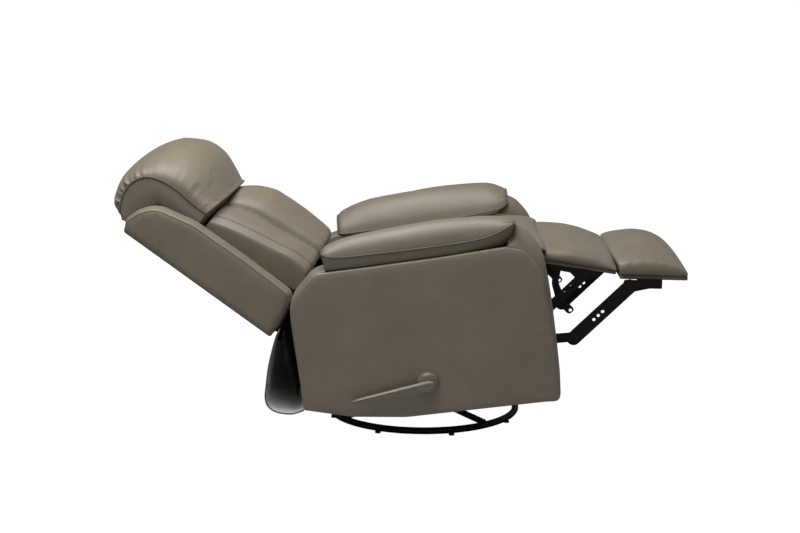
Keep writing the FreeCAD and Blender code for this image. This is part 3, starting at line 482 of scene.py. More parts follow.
def inner_fill(edge, pitch):
    """Even triangles inside a closed outline: new points, and faces that count the outline's points first."""
    low_corner, high_corner = edge.min(axis=0), edge.max(axis=0)
    xs, zs = np.meshgrid(np.arange(low_corner[0], high_corner[0], pitch),
                         np.arange(low_corner[1], high_corner[1], pitch * 0.87))
    xs = xs + (np.arange(len(xs)) % 2 * pitch / 2)[:, None]
    spots = np.stack([xs.ravel(), zs.ravel()], axis=1)
    after = np.roll(edge, -1, axis=0)
    a, b = edge[None], after[None]
    p = spots[:, None]
    crosses = (a[..., 1] > p[..., 1]) != (b[..., 1] > p[..., 1])
    with np.errstate(divide="ignore", invalid="ignore"):
        at = (b[..., 0] - a[..., 0]) * (p[..., 1] - a[..., 1]) / (b[..., 1] - a[..., 1]) + a[..., 0]
    inside = (crosses & (p[..., 0] < at)).sum(axis=1) % 2 == 1
    clear = np.linalg.norm(p - a, axis=2).min(axis=1) > pitch * 0.55
    spots = spots[inside & clear]
    count = len(edge)
    every = np.vstack([edge, spots])
    found = delaunay_2d_cdt([Vector(v) for v in every], [(i, (i + 1) % count) for i in range(count)], [], 1, 1e-6)
    origin = [o[0] for o in found[3]]
    return spots, [[origin[i] for i in face] for face in found[2]]


def facing(points, faces, direction):
    """Turns each face so that it looks along a direction."""
    out = []
    for face in faces:
        a, b, c = (points[i] for i in face[:3])
        out.append(list(face) if np.cross(b - a, c - a) @ direction > 0 else list(reversed(face)))
    return out


def near(points, line):
    """Distance from each point to a line of close points, and the place along it."""
    line = np.asarray(line, float)
    run = np.r_[0, np.cumsum(np.linalg.norm(np.diff(line, axis=0), axis=1))]
    tree = KDTree(len(line))
    for i, spot in enumerate(line):
        tree.insert(spot, i)
    tree.balance()
    found = [tree.find(p) for p in points]
    return np.array([f[2] for f in found]), run[[f[1] for f in found]]


def plump(name, points, faces, pressure=4.0, cap=24.0, pinned=None, frames=20, stiff=18.0):
    """Blows a cushion up with a short cloth simulation; no point moves further than the cap."""
    mesh = bpy.data.meshes.new(name + "_sim")
    mesh.from_pydata([tuple(p / 1000) for p in points], [], [tuple(int(i) for i in f) for f in faces])
    obj = bpy.data.objects.new(name + "_sim", mesh)
    SCENE.collection.objects.link(obj)
    cloth = obj.modifiers.new("Cloth", "CLOTH")
    rules = cloth.settings
    rules.quality = 5
    rules.mass = 0.35
    rules.tension_stiffness = rules.compression_stiffness = rules.shear_stiffness = stiff
    rules.bending_stiffness = 2.5
    rules.use_pressure = True
    rules.uniform_pressure_force = pressure
    rules.effector_weights.gravity = 0
    if pinned is not None:
        group = obj.vertex_groups.new(name="seams")
        for i, weight in enumerate(pinned):
            if weight > 0.01:
                group.add([i], float(weight), "REPLACE")
        rules.vertex_group_mass = "seams"
    cloth.collision_settings.use_self_collision = False
    for step in range(1, frames + 1):
        SCENE.frame_set(step)
    shaped = obj.evaluated_get(bpy.context.evaluated_depsgraph_get())
    out = np.zeros(len(points) * 3)
    shaped.data.vertices.foreach_get("co", out)
    out = out.reshape(-1, 3) * 1000
    SCENE.frame_set(1)
    bpy.data.objects.remove(obj)
    move = out - points
    far = np.linalg.norm(move, axis=1, keepdims=True)
    return points + move * np.minimum(1, cap / np.maximum(far, 1e-9))


def finish_soft(obj, levels=1):
    sub = obj.modifiers.new("Subdivision", "SUBSURF")
    sub.levels = sub.render_levels = levels
    sub.boundary_smooth = "PRESERVE_CORNERS"
    return obj


def tube(name, line, radius, material, body=None, closed=False, sides=8, flat=1.0, place=FLAT):
    """A welt or tube swept along a line with its twist kept steady."""
    line = np.asarray(line, float)
    if closed:
        ahead = np.roll(line, -1, axis=0) - np.roll(line, 1, axis=0)
    else:
        ahead = np.gradient(line, axis=0)
    ahead /= np.linalg.norm(ahead, axis=1, keepdims=True)
    side = np.zeros_like(line)
    start = np.cross(ahead[0], (0, 0, 1.0) if abs(ahead[0][2]) < 0.9 else (0, 1.0, 0))
    side[0] = start / np.linalg.norm(start)
    for i in range(1, len(line)):
        s = side[i - 1] - ahead[i] * (side[i - 1] @ ahead[i])
        side[i] = s / np.linalg.norm(s)
    up = np.cross(ahead, side)
    angles = np.linspace(0, 2 * math.pi, sides, endpoint=False)
    radius = np.broadcast_to(radius, (len(line),))[:, None, None]
    ring = (line[:, None] + radius * (side[:, None] * np.cos(angles)[None, :, None]
                                      + flat * up[:, None] * np.sin(angles)[None, :, None]))
    points = ring.reshape(-1, 3)
    faces, count = [], len(line)
    for i in range(count if closed else count - 1):
        for j in range(sides):
            a, b = i * sides + j, i * sides + (j + 1) % sides
            c, d = ((i + 1) % count) * sides + (j + 1) % sides, ((i + 1) % count) * sides + j
            faces.append((a, d, c, b))
    mesh_points = world(points, place)
    if not closed:
        faces.append(tuple(range(sides)))
        faces.append(tuple((count - 1) * sides + j for j in reversed(range(sides))))
    return mesh_piece(name, mesh_points, faces, material, body=body)


# Repeated small things, grown along a line by geometry nodes

def line_object(name, lines, place=FLAT):
    curve = bpy.data.curves.new(name, "CURVE")
    curve.dimensions = "3D"
    for line in lines:
        line = world(line, place)
        spline = curve.splines.new("POLY")
        spline.points.add(len(line) - 1)
        for point, spot in zip(spline.points, line):
            point.co = (*spot, 1)
    obj = bpy.data.objects.new(name, curve)
    SCENE.collection.objects.link(obj)
    return obj


def stitch_tree():
    """Stitches laid end to end along a curve: pitch, stitch length and thread radius."""
    tree = bpy.data.node_groups.new("stitches along a seam", "GeometryNodeTree")
    face = tree.interface
    face.new_socket("Seam", in_out="INPUT", socket_type="NodeSocketGeometry")
    for word, value in (("Pitch", 0.006), ("Stitch", 0.0042), ("Thread", 0.00045)):
        face.new_socket(word, in_out="INPUT", socket_type="NodeSocketFloat").default_value = value
    face.new_socket("Finish", in_out="INPUT", socket_type="NodeSocketMaterial")
    face.new_socket("Stitches", in_out="OUTPUT", socket_type="NodeSocketGeometry")
    inlet, outlet = node(tree, "NodeGroupInput"), node(tree, "NodeGroupOutput")
    spaced = node(tree, "GeometryNodeResampleCurve", mode="LENGTH")
    one = node(tree, "GeometryNodeMeshUVSphere")
    one.inputs["Segments"].default_value, one.inputs["Rings"].default_value = 6, 5
    shape = node(tree, "GeometryNodeTransform")
    size = node(tree, "ShaderNodeCombineXYZ")
    half = node(tree, "ShaderNodeMath", operation="MULTIPLY")
    half.inputs[1].default_value = 0.5
    facing = node(tree, "FunctionNodeAlignRotationToVector", axis="Z")
    along = node(tree, "GeometryNodeInputTangent")
    laid = node(tree, "GeometryNodeInstanceOnPoints")
    solid = node(tree, "GeometryNodeRealizeInstances")
    finish = node(tree, "GeometryNodeSetMaterial")
    for a, b in ((inlet.outputs["Seam"], spaced.inputs["Curve"]), (inlet.outputs["Pitch"], spaced.inputs["Length"]),
                 (inlet.outputs["Thread"], size.inputs["X"]), (inlet.outputs["Thread"], size.inputs["Y"]),
                 (inlet.outputs["Stitch"], half.inputs[0]), (half.outputs["Value"], size.inputs["Z"]),
                 (one.outputs["Mesh"], shape.inputs["Geometry"]), (size.outputs["Vector"], shape.inputs["Scale"]),
                 (along.outputs["Tangent"], facing.inputs["Vector"]), (spaced.outputs["Curve"], laid.inputs["Points"]),
                 (shape.outputs["Geometry"], laid.inputs["Instance"]), (facing.outputs["Rotation"], laid.inputs["Rotation"]),
                 (laid.outputs["Instances"], solid.inputs["Geometry"]), (solid.outputs["Geometry"], finish.inputs["Geometry"]),
                 (inlet.outputs["Finish"], finish.inputs["Material"]), (finish.outputs["Geometry"], outlet.inputs["Stitches"])):
        tree.links.new(a, b)
    return tree


STITCHES = stitch_tree()


def grown(name, source, tree, settings, material, body=None):
    """Runs a geometry nodes tree on a line object and keeps the plain mesh."""
    modifier = source.modifiers.new("Grow", "NODES")
    modifier.node_group = tree
    for socket in tree.interface.items_tree:
        if socket.in_out == "INPUT" and socket.name in settings:
            modifier[socket.identifier] = settings[socket.name]
        if socket.in_out == "INPUT" and socket.name == "Finish":
            modifier[socket.identifier] = material
    bpy.context.view_layer.update()
    mesh = bpy.data.meshes.new_from_object(source.evaluated_get(bpy.context.evaluated_depsgraph_get()))
    mesh.name = name
    bpy.data.objects.remove(source)
    obj = bpy.data.objects.new(name, mesh)
    SCENE.collection.objects.link(obj)
    mesh.polygons.foreach_set("use_smooth", [True] * len(mesh.polygons))
    if not mesh.materials:
        mesh.materials.append(material)
    if body:
        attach(obj, body)
    return obj


def stitched(name, lines, body, place=FLAT, pitch=6.0, stitch=4.4, radius=0.5):
    settings = {"Pitch": pitch / 1000, "Stitch": stitch / 1000, "Thread": radius / 1000}
    return grown(name, line_object(name + "_line", lines, place), STITCHES, settings, THREAD, body)


def mirror_y(points):
    return np.asarray(points) * (1, -1, 1)


def both_sides(maker):
    """Makes a piece for the sitter's right (side -1) and left (side 1)."""
    return {name: maker(name, side) for name, side in (("right", -1), ("left", 1))}


def flipped(faces):
    return np.asarray(faces)[:, ::-1]


# Arms

def panel_outline():
    """Side of the seat body: flat low edge that rises behind, rounded shoulders."""
    rear, front, low = -368.0, 418.0, 97.0
    top = dict(PANEL_EDGE)
    return [(rear, low + 58, 8), (rear + 145, low + 20, 200), (rear + 310, low, 300), (front - 50, low, 200),
            (front - 2, low - 3, 20), (front + 1, low + 90, 250), (front - 2, 350, 300),
            (front - 14, 500, 160), (front - 62, 572, 52), (301, top[301]), (89, top[89]), (-150, top[-150]),
            (-280, top[-280], 60), (rear + 8, 500, 60), (rear, 430, 200)]


def side_panel(name, side):
    """Outer side of an arm: taut leather over foam, its edge turned in all round."""
    count = 420
    edge = rounded(panel_outline(), count)
    middle = np.array([25.0, 330.0])
    inward = middle - edge
    inward /= np.linalg.norm(inward, axis=1, keepdims=True)
    ahead = np.roll(edge, -1, axis=0) - np.roll(edge, 1, axis=0)
    ahead /= np.linalg.norm(ahead, axis=1, keepdims=True)
    normal = np.stack([-ahead[:, 1], ahead[:, 0]], axis=1)
    normal *= np.sign((normal * inward).sum(axis=1, keepdims=True))
    rings, ys, painted_shade = [], [], []
    # Painted shade: the third number darkens the turned-in rings, most at the hidden back ring.
    for inset, y, ring_shade in ((7, 408, 0.6), (1.5, 409.5, 0.4), (0, 412.5, 0.15), (0.8, 416, 0.0), (3, 418.8, 0.0),
                           (5.5, 420.0, 0.0)):
        rings.append(edge + normal * inset)
        ys.append(np.full(count, y))
        painted_shade.append(np.full(count, ring_shade))
    spots, inner = inner_fill(rings[-1], 13.0)
    flat = np.vstack(rings + [spots])
    deep = near(np.c_[spots, np.zeros(len(spots))], np.c_[rings[-1], np.zeros(count)])[0]
    puff = 1.9 * (1 - np.exp(-deep / 9)) + 1.5 * (1 - np.exp(-deep / 70))
    ripples = 0.6 * ripple(spots[:, 0] / 100, spots[:, 1] / 100, 5, 2) * (1 - np.exp(-deep / 40))
    ys = np.concatenate(ys + [420.0 + puff + ripples])
    points = np.stack([flat[:, 0], ys * side, flat[:, 1]], axis=1)
    painted_shade = np.concatenate(painted_shade + [np.zeros(len(spots))])
    faces = []
    total = len(rings)
    for r in range(total - 1):
        for i in range(count):
            j = (i + 1) % count
            faces.append((r * count + i, r * count + j, (r + 1) * count + j, (r + 1) * count + i))
    if side > 0:
        faces = [tuple(reversed(f)) for f in faces]
    start = (total - 1) * count
    faces += facing(points, [[start + i for i in face] for face in inner], np.array([0, side, 0]))
    obj = mesh_piece("side_panel_cover_" + name, world(points, LEVEL), faces, LEATHER_TAUT, painted_shade, "chassis")
    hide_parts("arm_outer_panel_" + name)
    return obj


BAND_PEAK = 0.68


def front_band(name, side):
    """Padded band over the front of an arm, from its lower edge up and over behind the arm pad."""
    low = 297.0
    flush = through([(413, 100), (417, 180), (416, 320), (411, 430), (402, 480), (393, 508), (378, 538),
                     (358, 562), (338, 578), (312, 586)], 60)
    crown = through([(422, 100), (427, 180), (427, 320), (424, 430), (420, 490), (413, 545), (397, 583),
                     (377, 613), (354, 633), (333, 641), (306, 626)], 60)
    us, vs, ws = shares(120, 0.2), shares(26, 0.75), shares(3)
    cell, faces = box_skin(us, vs, ws)
    u, t, w = cell[:, 0], 2 * cell[:, 1] - 1, cell[:, 2]
    line = np.linspace(0, 1, 60)
    base = np.stack([np.interp(u, line, flush[:, i]) for i in (0, 1)], axis=1)
    top = np.stack([np.interp(u, line, crown[:, i]) for i in (0, 1)], axis=1)
    inward = (1 - t) / 2
    swell = np.where(inward < BAND_PEAK, (1 - np.abs(1 - inward / BAND_PEAK)**1.7)**0.9,
                     np.clip(1 - ((inward - BAND_PEAK) / (1 - BAND_PEAK))**3, 0, 1)**0.6)
    swell = np.where(w > 0.99, swell, 0)
    out = base + (top - base) * swell[:, None]
    inside = base + np.array([-16.0, -6.0]) * (1 - w)[:, None]
    spot = np.where((w > 0.99)[:, None], out, inside)
    fold = np.exp(-((out[:, 1] - 606) / 5)**2) + 0.7 * np.exp(-((out[:, 1] - 592) / 4)**2)
    spot[:, 0] -= np.where(w > 0.99, 2.2 * fold * swell, 0)
    half = (ARM_OUTER - BOARD - low) / 2
    y = (low + half) + t * (half - 0.8)
    points = np.stack([spot[:, 0], -y if side < 0 else y, spot[:, 1]], axis=1)
    if side > 0:
        faces = flipped(faces)
    # Painted shade: the band's top is darkened where it rolls down from its crown into the seams.
    obj = mesh_piece("arm_front_cover_" + name, world(points, LEVEL), flipped(faces), LEATHER,
                     np.clip(1 - swell * 1.4, 0, 1) * 0.35 * (w > 0.99), "chassis")
    finish_soft(obj)
    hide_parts("arm_front_band_" + name)
    return obj


PAD_SEAM = [(-253, 629), (-232, 619), (-211, 615), (-151, 612), (-14, 612), (168, 615), (229, 620),
            (281, 632), (315, 645), (330, 651), (338, 653)]
PAD_SEAM_INNER = [(-253, 582), (-232, 579), (-151, 579), (-14, 581), (168, 589), (229, 593), (281, 598),
                  (315, 605), (338, 616)]
PAD_CROWN = [(-253, 630), (-242, 641), (-218, 650), (-194, 657), (-132, 667), (-8, 676), (114, 682), (206, 680),
             (288, 672), (318, 663), (332, 656), (338, 650)]
PAD_LOW = [(-253, 574.5), (-150, 575), (89, 580), (301, 589), (341, 598)]
PAD_HALF = [(-253, 58), (-250, 63), (-244, 67), (-232, 69.5), (-200, 70), (270, 70), (305, 67.5), (324, 62),
            (334, 54), (338, 46)]


def arm_pad(name, side):
    """Padded arm top: boxed sides under a raised seam, a full crown and a swept-up front."""
    us, vs, ws = shares(92, 0.35), shares(26, 0.45), shares(7)
    cell, faces = box_skin(us, vs, ws)
    u, t, w = cell[:, 0], 2 * cell[:, 1] - 1, cell[:, 2]
    x = -253 + 591 * u
    seam, crown, low, half = (smooth(table, x) for table in (PAD_SEAM, PAD_CROWN, PAD_LOW, PAD_HALF))
    inner_seam = smooth(PAD_SEAM_INNER, x)
    seam = seam + (inner_seam - seam) * np.clip((t + 1) / 2, 0, 1)**0.8
    top = w > 0.999
    lean = t + 0.28 * (1 - t**2)
    dome = (1 - np.abs(lean)**2.5)**0.6
    crown = crown + 4 + (9 if side > 0 else 0) * np.clip((x + 253) / 120, 0, 1) * np.clip((338 - x) / 60, 0, 1)
    rise = seam + (np.maximum(crown, seam) - seam) * dome
    z = low + (rise - low) * w
    front = np.clip((u - 0.7) / 0.3, 0, 1)
    bow = np.where(top, 0, np.sin(math.pi * w) * 1.5 - (1 - w) * (11 + 26 * front**1.5) * (t < 0))
    y = t * (half + bow)
    x = x - 26 * np.clip((u - 0.86) / 0.14, 0, 1)**2 * (1 - w)**1.3
    x = x + 4 * np.clip((0.1 - u) / 0.1, 0, 1) * (1 - w)
    points = np.stack([x, y, z], axis=1)
    rim = (np.abs(np.abs(t) - 1) < 1e-6) | (u < 1e-6) | (u > 1 - 1e-6)
    pinned = np.where(top & ~rim, 0.0, 1.0)
    points = plump("arm_pad", points, faces, pressure=3.0, cap=8.0, pinned=pinned)
    normal = vertex_normals(points, faces)
    from_front, from_rear = (1 - u) * 591, u * 591
    from_side = (1 - np.abs(t)) * half
    dent = np.where(top & ~rim, 1.0, 0.0)
    gathers = (np.exp(-from_front / 24) * puckers(t * 70 + 3, 3, 17) * 4.5
               + np.exp(-from_rear / 20) * puckers(t * 70 + 9, 4, 18) * 3.0
               + np.exp(-from_side / 9) * puckers(x, 8, 34) * 0.5)
    soft = 0.5 * ripple(x / 60, points[:, 1] / 45, 11, 3)
    roll = -1.5 * np.exp(-(np.minimum(from_side, np.minimum(from_front, from_rear)) / 3.5)**2)
    points = points + normal * (dent * (soft - gathers + roll))[:, None]
    points[:, 1] += -(ARM_INNER + ARM_OUTER - 5) / 2
    if side > 0:
        points, faces = mirror_y(points), flipped(faces)
    # Painted shade: darker towards the seams on the top, and the boxed sides a little darker all over.
    painted_shade = np.where(top, 0.25 * np.exp(-np.minimum(from_side, np.minimum(from_front, from_rear)) / 4), 0.1)
    obj = mesh_piece("arm_top_cushion_" + name, world(points, LEVEL), faces, LEATHER, painted_shade, "chassis")
    finish_soft(obj)
    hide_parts("arm_pad_" + name)

    ring = rim & top
    order = pad_rim_order(u[ring], t[ring])
    loop = points[ring][order]
    outward = loop - loop.mean(axis=0)
    outward[:, 2] = 0
    outward /= np.maximum(np.linalg.norm(outward, axis=1, keepdims=True), 1e-9)
    lip = through(loop + outward * 0.8 + np.array([0, 0, 0.8]), 420, closed=True)
    tube("arm_top_welt_" + name, lip, 2.3, SHADED_WELT, "chassis", closed=True, place=LEVEL)
    return obj


def pad_rim_order(u, t):
    """Order of the rim's corners round the pad."""
    place = np.where(t < -0.999, u, np.where(u > 0.999, 1 + (t + 1) / 2, np.where(t > 0.999, 3 - u, 3 + (1 - t) / 2)))
    return np.argsort(place, kind="stable")


def arm_shoulder(name, side):
    """Leather over the rear end and top of an arm, from behind the pad down to the flap."""
    under = through([(-362, 160), (-365, 300), (-366, 430), (-362, 470), (-350, 503), (-318, 535), (-288, 562),
                     (-246, 573)], 60)
    over = through([(-369, 160), (-372, 300), (-374, 430), (-370, 474), (-357, 509), (-323, 544), (-291, 572),
                    (-246, 583)], 60)
    cell, faces = box_skin(shares(60, 0.2), shares(16, 0.7), shares(2))
    u, t, w = cell[:, 0], 2 * cell[:, 1] - 1, cell[:, 2]
    line = np.linspace(0, 1, 60)
    base = np.stack([np.interp(u, line, under[:, i]) for i in (0, 1)], axis=1)
    top = np.stack([np.interp(u, line, over[:, i]) for i in (0, 1)], axis=1)
    swell = np.where(w > 0.5, 0.25 + 0.75 * (1 - np.abs(t)**4)**0.5, 0) * w
    spot = base + (top - base) * swell[:, None]
    wide = (ARM_INNER + 2, ARM_OUTER - BOARD + 1.5)
    y = wide[0] + (wide[1] - wide[0]) * (t + 1) / 2
    y = -y if side < 0 else y
    points = np.stack([spot[:, 0], y, spot[:, 1]], axis=1)
    if side > 0:
        faces = flipped(faces)
    # The whole cover is darkened slightly through the painted shade attribute.
    obj = mesh_piece("arm_shoulder_cover_" + name, world(points, LEVEL), faces, LEATHER, np.full(len(y), 0.1),
                     "chassis")
    finish_soft(obj)


def hinge_cloth(name, side):
    """Dust cloth that closes the opening between the backrest's foot and an arm's rear end; its near-black colour is
    painted shade.
    """
    rear = np.vstack([world(through([(2, 0, 6), (-40, 0, -8), (-90, 0, -16), (-132, 0, -22)], 17), BACK),
                      world(through([(-422, 0, 384), (-429, 0, 370), (-436, 0, 356)], 7), LEVEL)])
    front = world(through([(-330, 0, 520), (-350, 0, 490), (-360, 0, 440), (-362, 0, 352)], 24), LEVEL)
    rows, cols = 24, 16
    points = []
    for thick in (0.0, 1.2):
        for i in range(rows):
            for j in range(cols):
                share = j / (cols - 1)
                spot = rear[i] * (1 - share) + front[i] * share
                sag = 0.010 * math.sin(math.pi * share) * math.sin(math.pi * i / (rows - 1))
                points.append((spot[0], side * (0.300 - sag + thick / 1000), spot[2]))
    faces = []
    for layer in (0, 1):
        for i in range(rows - 1):
            for j in range(cols - 1):
                a = (layer * rows + i) * cols + j
                quad = (a, a + 1, a + cols + 1, a + cols)
                faces.append(quad)
    points = np.array(points)
    half = len(faces) // 2
    faces = (facing(points, faces[:half], np.array([0, -side, 0])) + facing(points, faces[half:], np.array([0, side, 0])))
    rim = ([i * cols for i in range(rows)] + [(rows - 1) * cols + j for j in range(1, cols)]
           + [i * cols + cols - 1 for i in range(rows - 2, -1, -1)] + [j for j in range(cols - 2, 0, -1)])
    layer_size = rows * cols
    sides = [[a, b, b + layer_size, a + layer_size] for a, b in zip(rim, rim[1:] + rim[:1])]
    middle = points.mean(axis=0)
    for quad in sides:
        centre = points[quad].mean(axis=0) - middle
        centre[1] = 0
        faces += facing(points, [quad], centre)
    obj = mesh_piece("hinge_dust_cloth_" + name, points, faces, SHADE_CLOTH)
    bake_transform(obj)


both_sides(side_panel)
both_sides(front_band)
both_sides(arm_pad)
both_sides(arm_shoulder)
both_sides(hinge_cloth)


# Seat, middle pad and foot pad

def slab(name, body, place, replaced, length, half, low, seam, crown, cuts, round_ends=(24, 24),
         pressure=3.0, cap=10.0, seed=1, gather=1.0, rear_bulge=0.0, front_hollow=0.0):
    """A crowned pad: boxed low sides to a seam, a domed top; heights are tables along its length."""
    cell, faces = box_skin(shares(cuts[0], 0.3), shares(cuts[1], 0.4), shares(cuts[2]))
    u, t, w = cell[:, 0], 2 * cell[:, 1] - 1, cell[:, 2]
    x0, x1 = length
    x = x0 + (x1 - x0) * u
    rim_z, top_z, low_z = smooth(seam, x), smooth(crown, x), smooth(low, x)
    wide = half * np.ones_like(x)
    top = w > 0.999
    dome = (1 - np.abs(t)**2.8)**0.62
    z = low_z + (rim_z + (top_z - rim_z) * dome - low_z) * w
    x = x - rear_bulge * dome * w**1.5 * np.clip(1 - u * 4, 0, 1)**2
    x = x - front_hollow * (1 - t**2) * np.clip(u * 8 - 7, 0, 1)
    y = t * (wide + np.where(top, 0, np.sin(math.pi * w) * 3 - (1 - w) * 3))
    points = np.stack([x, y, z], axis=1)
    rim = (np.abs(np.abs(t) - 1) < 1e-6) | (u < 1e-6) | (u > 1 - 1e-6)
    points = plump(name, points, faces, pressure=pressure, cap=cap, pinned=np.where(top & ~rim, 0.0, 1.0))
    normal = vertex_normals(points, faces)
    from_end = np.minimum(u, 1 - u) * (x1 - x0)
    from_side = (1 - np.abs(t)) * wide
    dent = np.where(top & ~rim, 1.0, 0.0)
    gathers = (np.exp(-from_side / 16) * puckers(x, seed + 2, 30) * 1.2
               + np.exp(-from_end / 14) * puckers(y, seed + 3, 36) * 0.8) * gather
    soft = 0.9 * ripple(x / 80, y / 80, seed, 3)
    points = points + normal * (dent * (soft - gathers))[:, None]
    # Painted shade: darker towards the seams on the top, and the boxed sides a little darker all over.
    painted_shade = np.where(top, 0.3 * np.exp(-np.minimum(from_side, from_end) / 4), 0.12)
    obj = mesh_piece(name, world(points, place), faces, LEATHER, painted_shade, body)
    finish_soft(obj)
    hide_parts(*replaced)
    ring = rim & top
    return obj, points[ring][pad_rim_order(u[ring], t[ring])]


SEAT_SEAM = [(-304, 498), (-200, 500), (-90, 513), (60, 533), (200, 553), (310, 567), (357, 568), (388, 562),
             (412, 551), (427, 543)]
SEAT_CROWN = [(-304, 502), (-200, 507), (-90, 527), (60, 557), (200, 581), (310, 597), (357, 599), (388, 592),
              (412, 582), (427, 572)]
SEAT_LOW = [(-304, 492), (296, 492), (301, 505), (335, 506), (339, 553), (388, 552), (412, 542), (427, 534)]
seat, seat_rim = slab("seat_cushion_cover", "chassis", LEVEL, ["seat_cushion"], (-304, 427), 281,
                      SEAT_LOW, SEAT_SEAM, SEAT_CROWN, (110, 78, 5), seed=21, gather=0.6, front_hollow=14.0)

MID_SEAM = [(-6, 24), (4, 30), (30, 33), (80, 37), (130, 36), (170, 30), (205, 22), (221, 18)]
MID_CROWN = [(-6, 72), (4, 75), (30, 79), (70, 82), (110, 80), (168, 69), (196, 62), (213, 50), (221, 34)]
mid_pad, mid_rim = slab("middle_footrest_cushion", "mid_rest", MID_REST, ["mid_pad"], (-6, 221), 268,
                        [(-6, 12.3), (221, 12.3)], MID_SEAM, MID_CROWN, (44, 76, 4), seed=31, rear_bulge=22.0)

FOOT_SEAM = [(0, 36), (8, 42), (40, 45), (80, 46), (122, 45), (160, 40), (190, 33), (207, 24)]
FOOT_CROWN = [(0, 78), (8, 88), (40, 100), (80, 105), (122, 99), (160, 83), (188, 60), (207, 31)]
foot_pad, foot_rim = slab("outer_footrest_cushion", "foot_rest", FOOT_REST, ["foot_pad"], (0, 207), 268,
                          [(0, 14.4), (207, 14.4)], FOOT_SEAM, FOOT_CROWN, (42, 76, 4), seed=41, rear_bulge=34.0)


def wrapped_board(name, body, place, replaced, length, half, thick):
    """A footrest board in leather: edges rounded over and a faint ripple where the cover is pulled."""
    cell, faces = box_skin(shares(40, 0.6), shares(70, 0.6), shares(4))
    u, t, w = cell[:, 0], 2 * cell[:, 1] - 1, cell[:, 2]
    edge = np.sin(math.pi * w) * 1.6
    x = length[0] + (length[1] - length[0]) * u + np.where(u > 0.999, edge, 0) - np.where(u < 0.001, edge, 0)
    y = t * half + np.sign(t) * np.where(np.abs(t) > 0.999, edge, 0)
    z = thick * w + 0.35 * ripple(x / 30, y / 30, 7, 2) * ((w < 0.001) | (w > 0.999)) * (np.abs(t) < 0.97)
    # The board is darkened evenly through the painted shade attribute.
    obj = mesh_piece(name, world(np.stack([x, y, z], axis=1), place), faces, LEATHER_BOARD,
                     np.full(len(x), 0.2), body)
    finish_soft(obj)
    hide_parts(replaced)
    return obj


wrapped_board("middle_footrest_board", "mid_rest", MID_REST, "mid_board", (0, 222), 259, 12)
wrapped_board("outer_footrest_board", "foot_rest", FOOT_REST, "foot_board", (0, 207), 259, 14)


# Backrest

PILLOW_SEAM = [(-122, 550), (-104, 572), (-87, 583), (-62, 592), (-38, 596), (-6, 592), (31, 567), (49, 522),
               (53, 467), (48, 413), (47, 354)]
PILLOW_CROWN = [(-128, 562), (-131, 604), (-119, 625), (-88, 641), (-37, 649), (48, 630), (112, 596), (152, 556),
                (182, 495), (182, 425), (136, 328)]


def head_pillow():
    """Pillow over the top of the back: drawn in at its side seams, full between them."""
    seam_line, crown_line = through(PILLOW_SEAM, 80), through(PILLOW_CROWN, 80)
    cell, faces = box_skin(shares(104, 0.25), shares(64, 0.35), shares(6))
    v, t, w = cell[:, 0], 2 * cell[:, 1] - 1, cell[:, 2]
    line = np.linspace(0, 1, 80)
    seam = np.stack([np.interp(v, line, seam_line[:, i]) for i in (0, 1)], axis=1)
    crown = np.stack([np.interp(v, line, crown_line[:, i]) for i in (0, 1)], axis=1)
    inner_line = through([(-122, 545), (-122, 512), (-100, 506), (-60, 500), (-30, 494), (-19.6, 486), (-19.6, 460),
                          (-19.6, 430), (-19.6, 390), (-19.6, 352)], 80)
    inner = np.stack([np.interp(v, line, inner_line[:, i]) for i in (0, 1)], axis=1)
    swell = (1 - np.abs(t)**2.3)**0.58
    top = w > 0.999
    skin = seam + (crown - seam) * swell[:, None]
    low = inner.copy()
    low[:, 1] -= 24 * v**4 * swell
    spot = np.where(top[:, None], skin, low + (seam + (crown - seam) * swell[:, None] - low) * w[:, None])
    y = t * (288 + np.where(top, 0, -2 + np.sin(math.pi * w) * 5))
    points = np.stack([spot[:, 0], y, spot[:, 1]], axis=1)
    faces = flipped(faces)
    rim = (np.abs(np.abs(t) - 1) < 1e-6) | (v < 1e-6) | (v > 1 - 1e-6)
    points = plump("head_pillow", points, faces, pressure=2.5, cap=3.0, pinned=np.where(top & ~rim, 0.0, 1.0))
    normal = vertex_normals(points, faces)
    run = v * 620
    from_side, from_low = (1 - np.abs(t)) * 288, (1 - v) * 620
    dent = np.where(top & ~rim, 1.0, 0.0)
    bend = np.exp(-((run - 150) / 110)**2)
    folds = np.clip(1.9 * puckers(run, 51, 31), 0, 1)**1.3
    gathers = (np.exp(-from_side / 32) * folds * (0.8 + 14 * bend)
               + np.exp(-from_low / 16) * puckers(y, 52, 34) * 0.4)
    soft = 1.0 * ripple(run / 110, y / 110, 53, 3)
    points = points + normal * (dent * (soft - gathers))[:, None]
    # Painted shade: darker towards the side seams on the top, and the boxed sides a little darker all over.
    painted_shade = np.where(top, 0.3 * np.exp(-from_side / 5), 0.15)
    obj = mesh_piece("head_pillow_cover", world(points, BACK), faces, LEATHER, painted_shade, "backrest")
    finish_soft(obj)
    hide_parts("head_pillow")
    ring = rim & top
    order = pad_rim_order(v[ring], t[ring])
    loop = through(points[ring][order], 700, closed=True)
    tube("head_pillow_welt", loop, 2.4, SHADED_WELT, "backrest", closed=True, place=BACK)
    return obj


head_pillow()

LUMBAR = [(-14, 62, 102, 142), (-4, 82, 122, 174), (12, 87, 130, 182), (52, 89, 128, 187), (130, 77, 117, 191),
          (214, 62, 109, 187), (271, 50, 98, 166), (318, 36, 82, 131), (332, 30, 72, 116)]


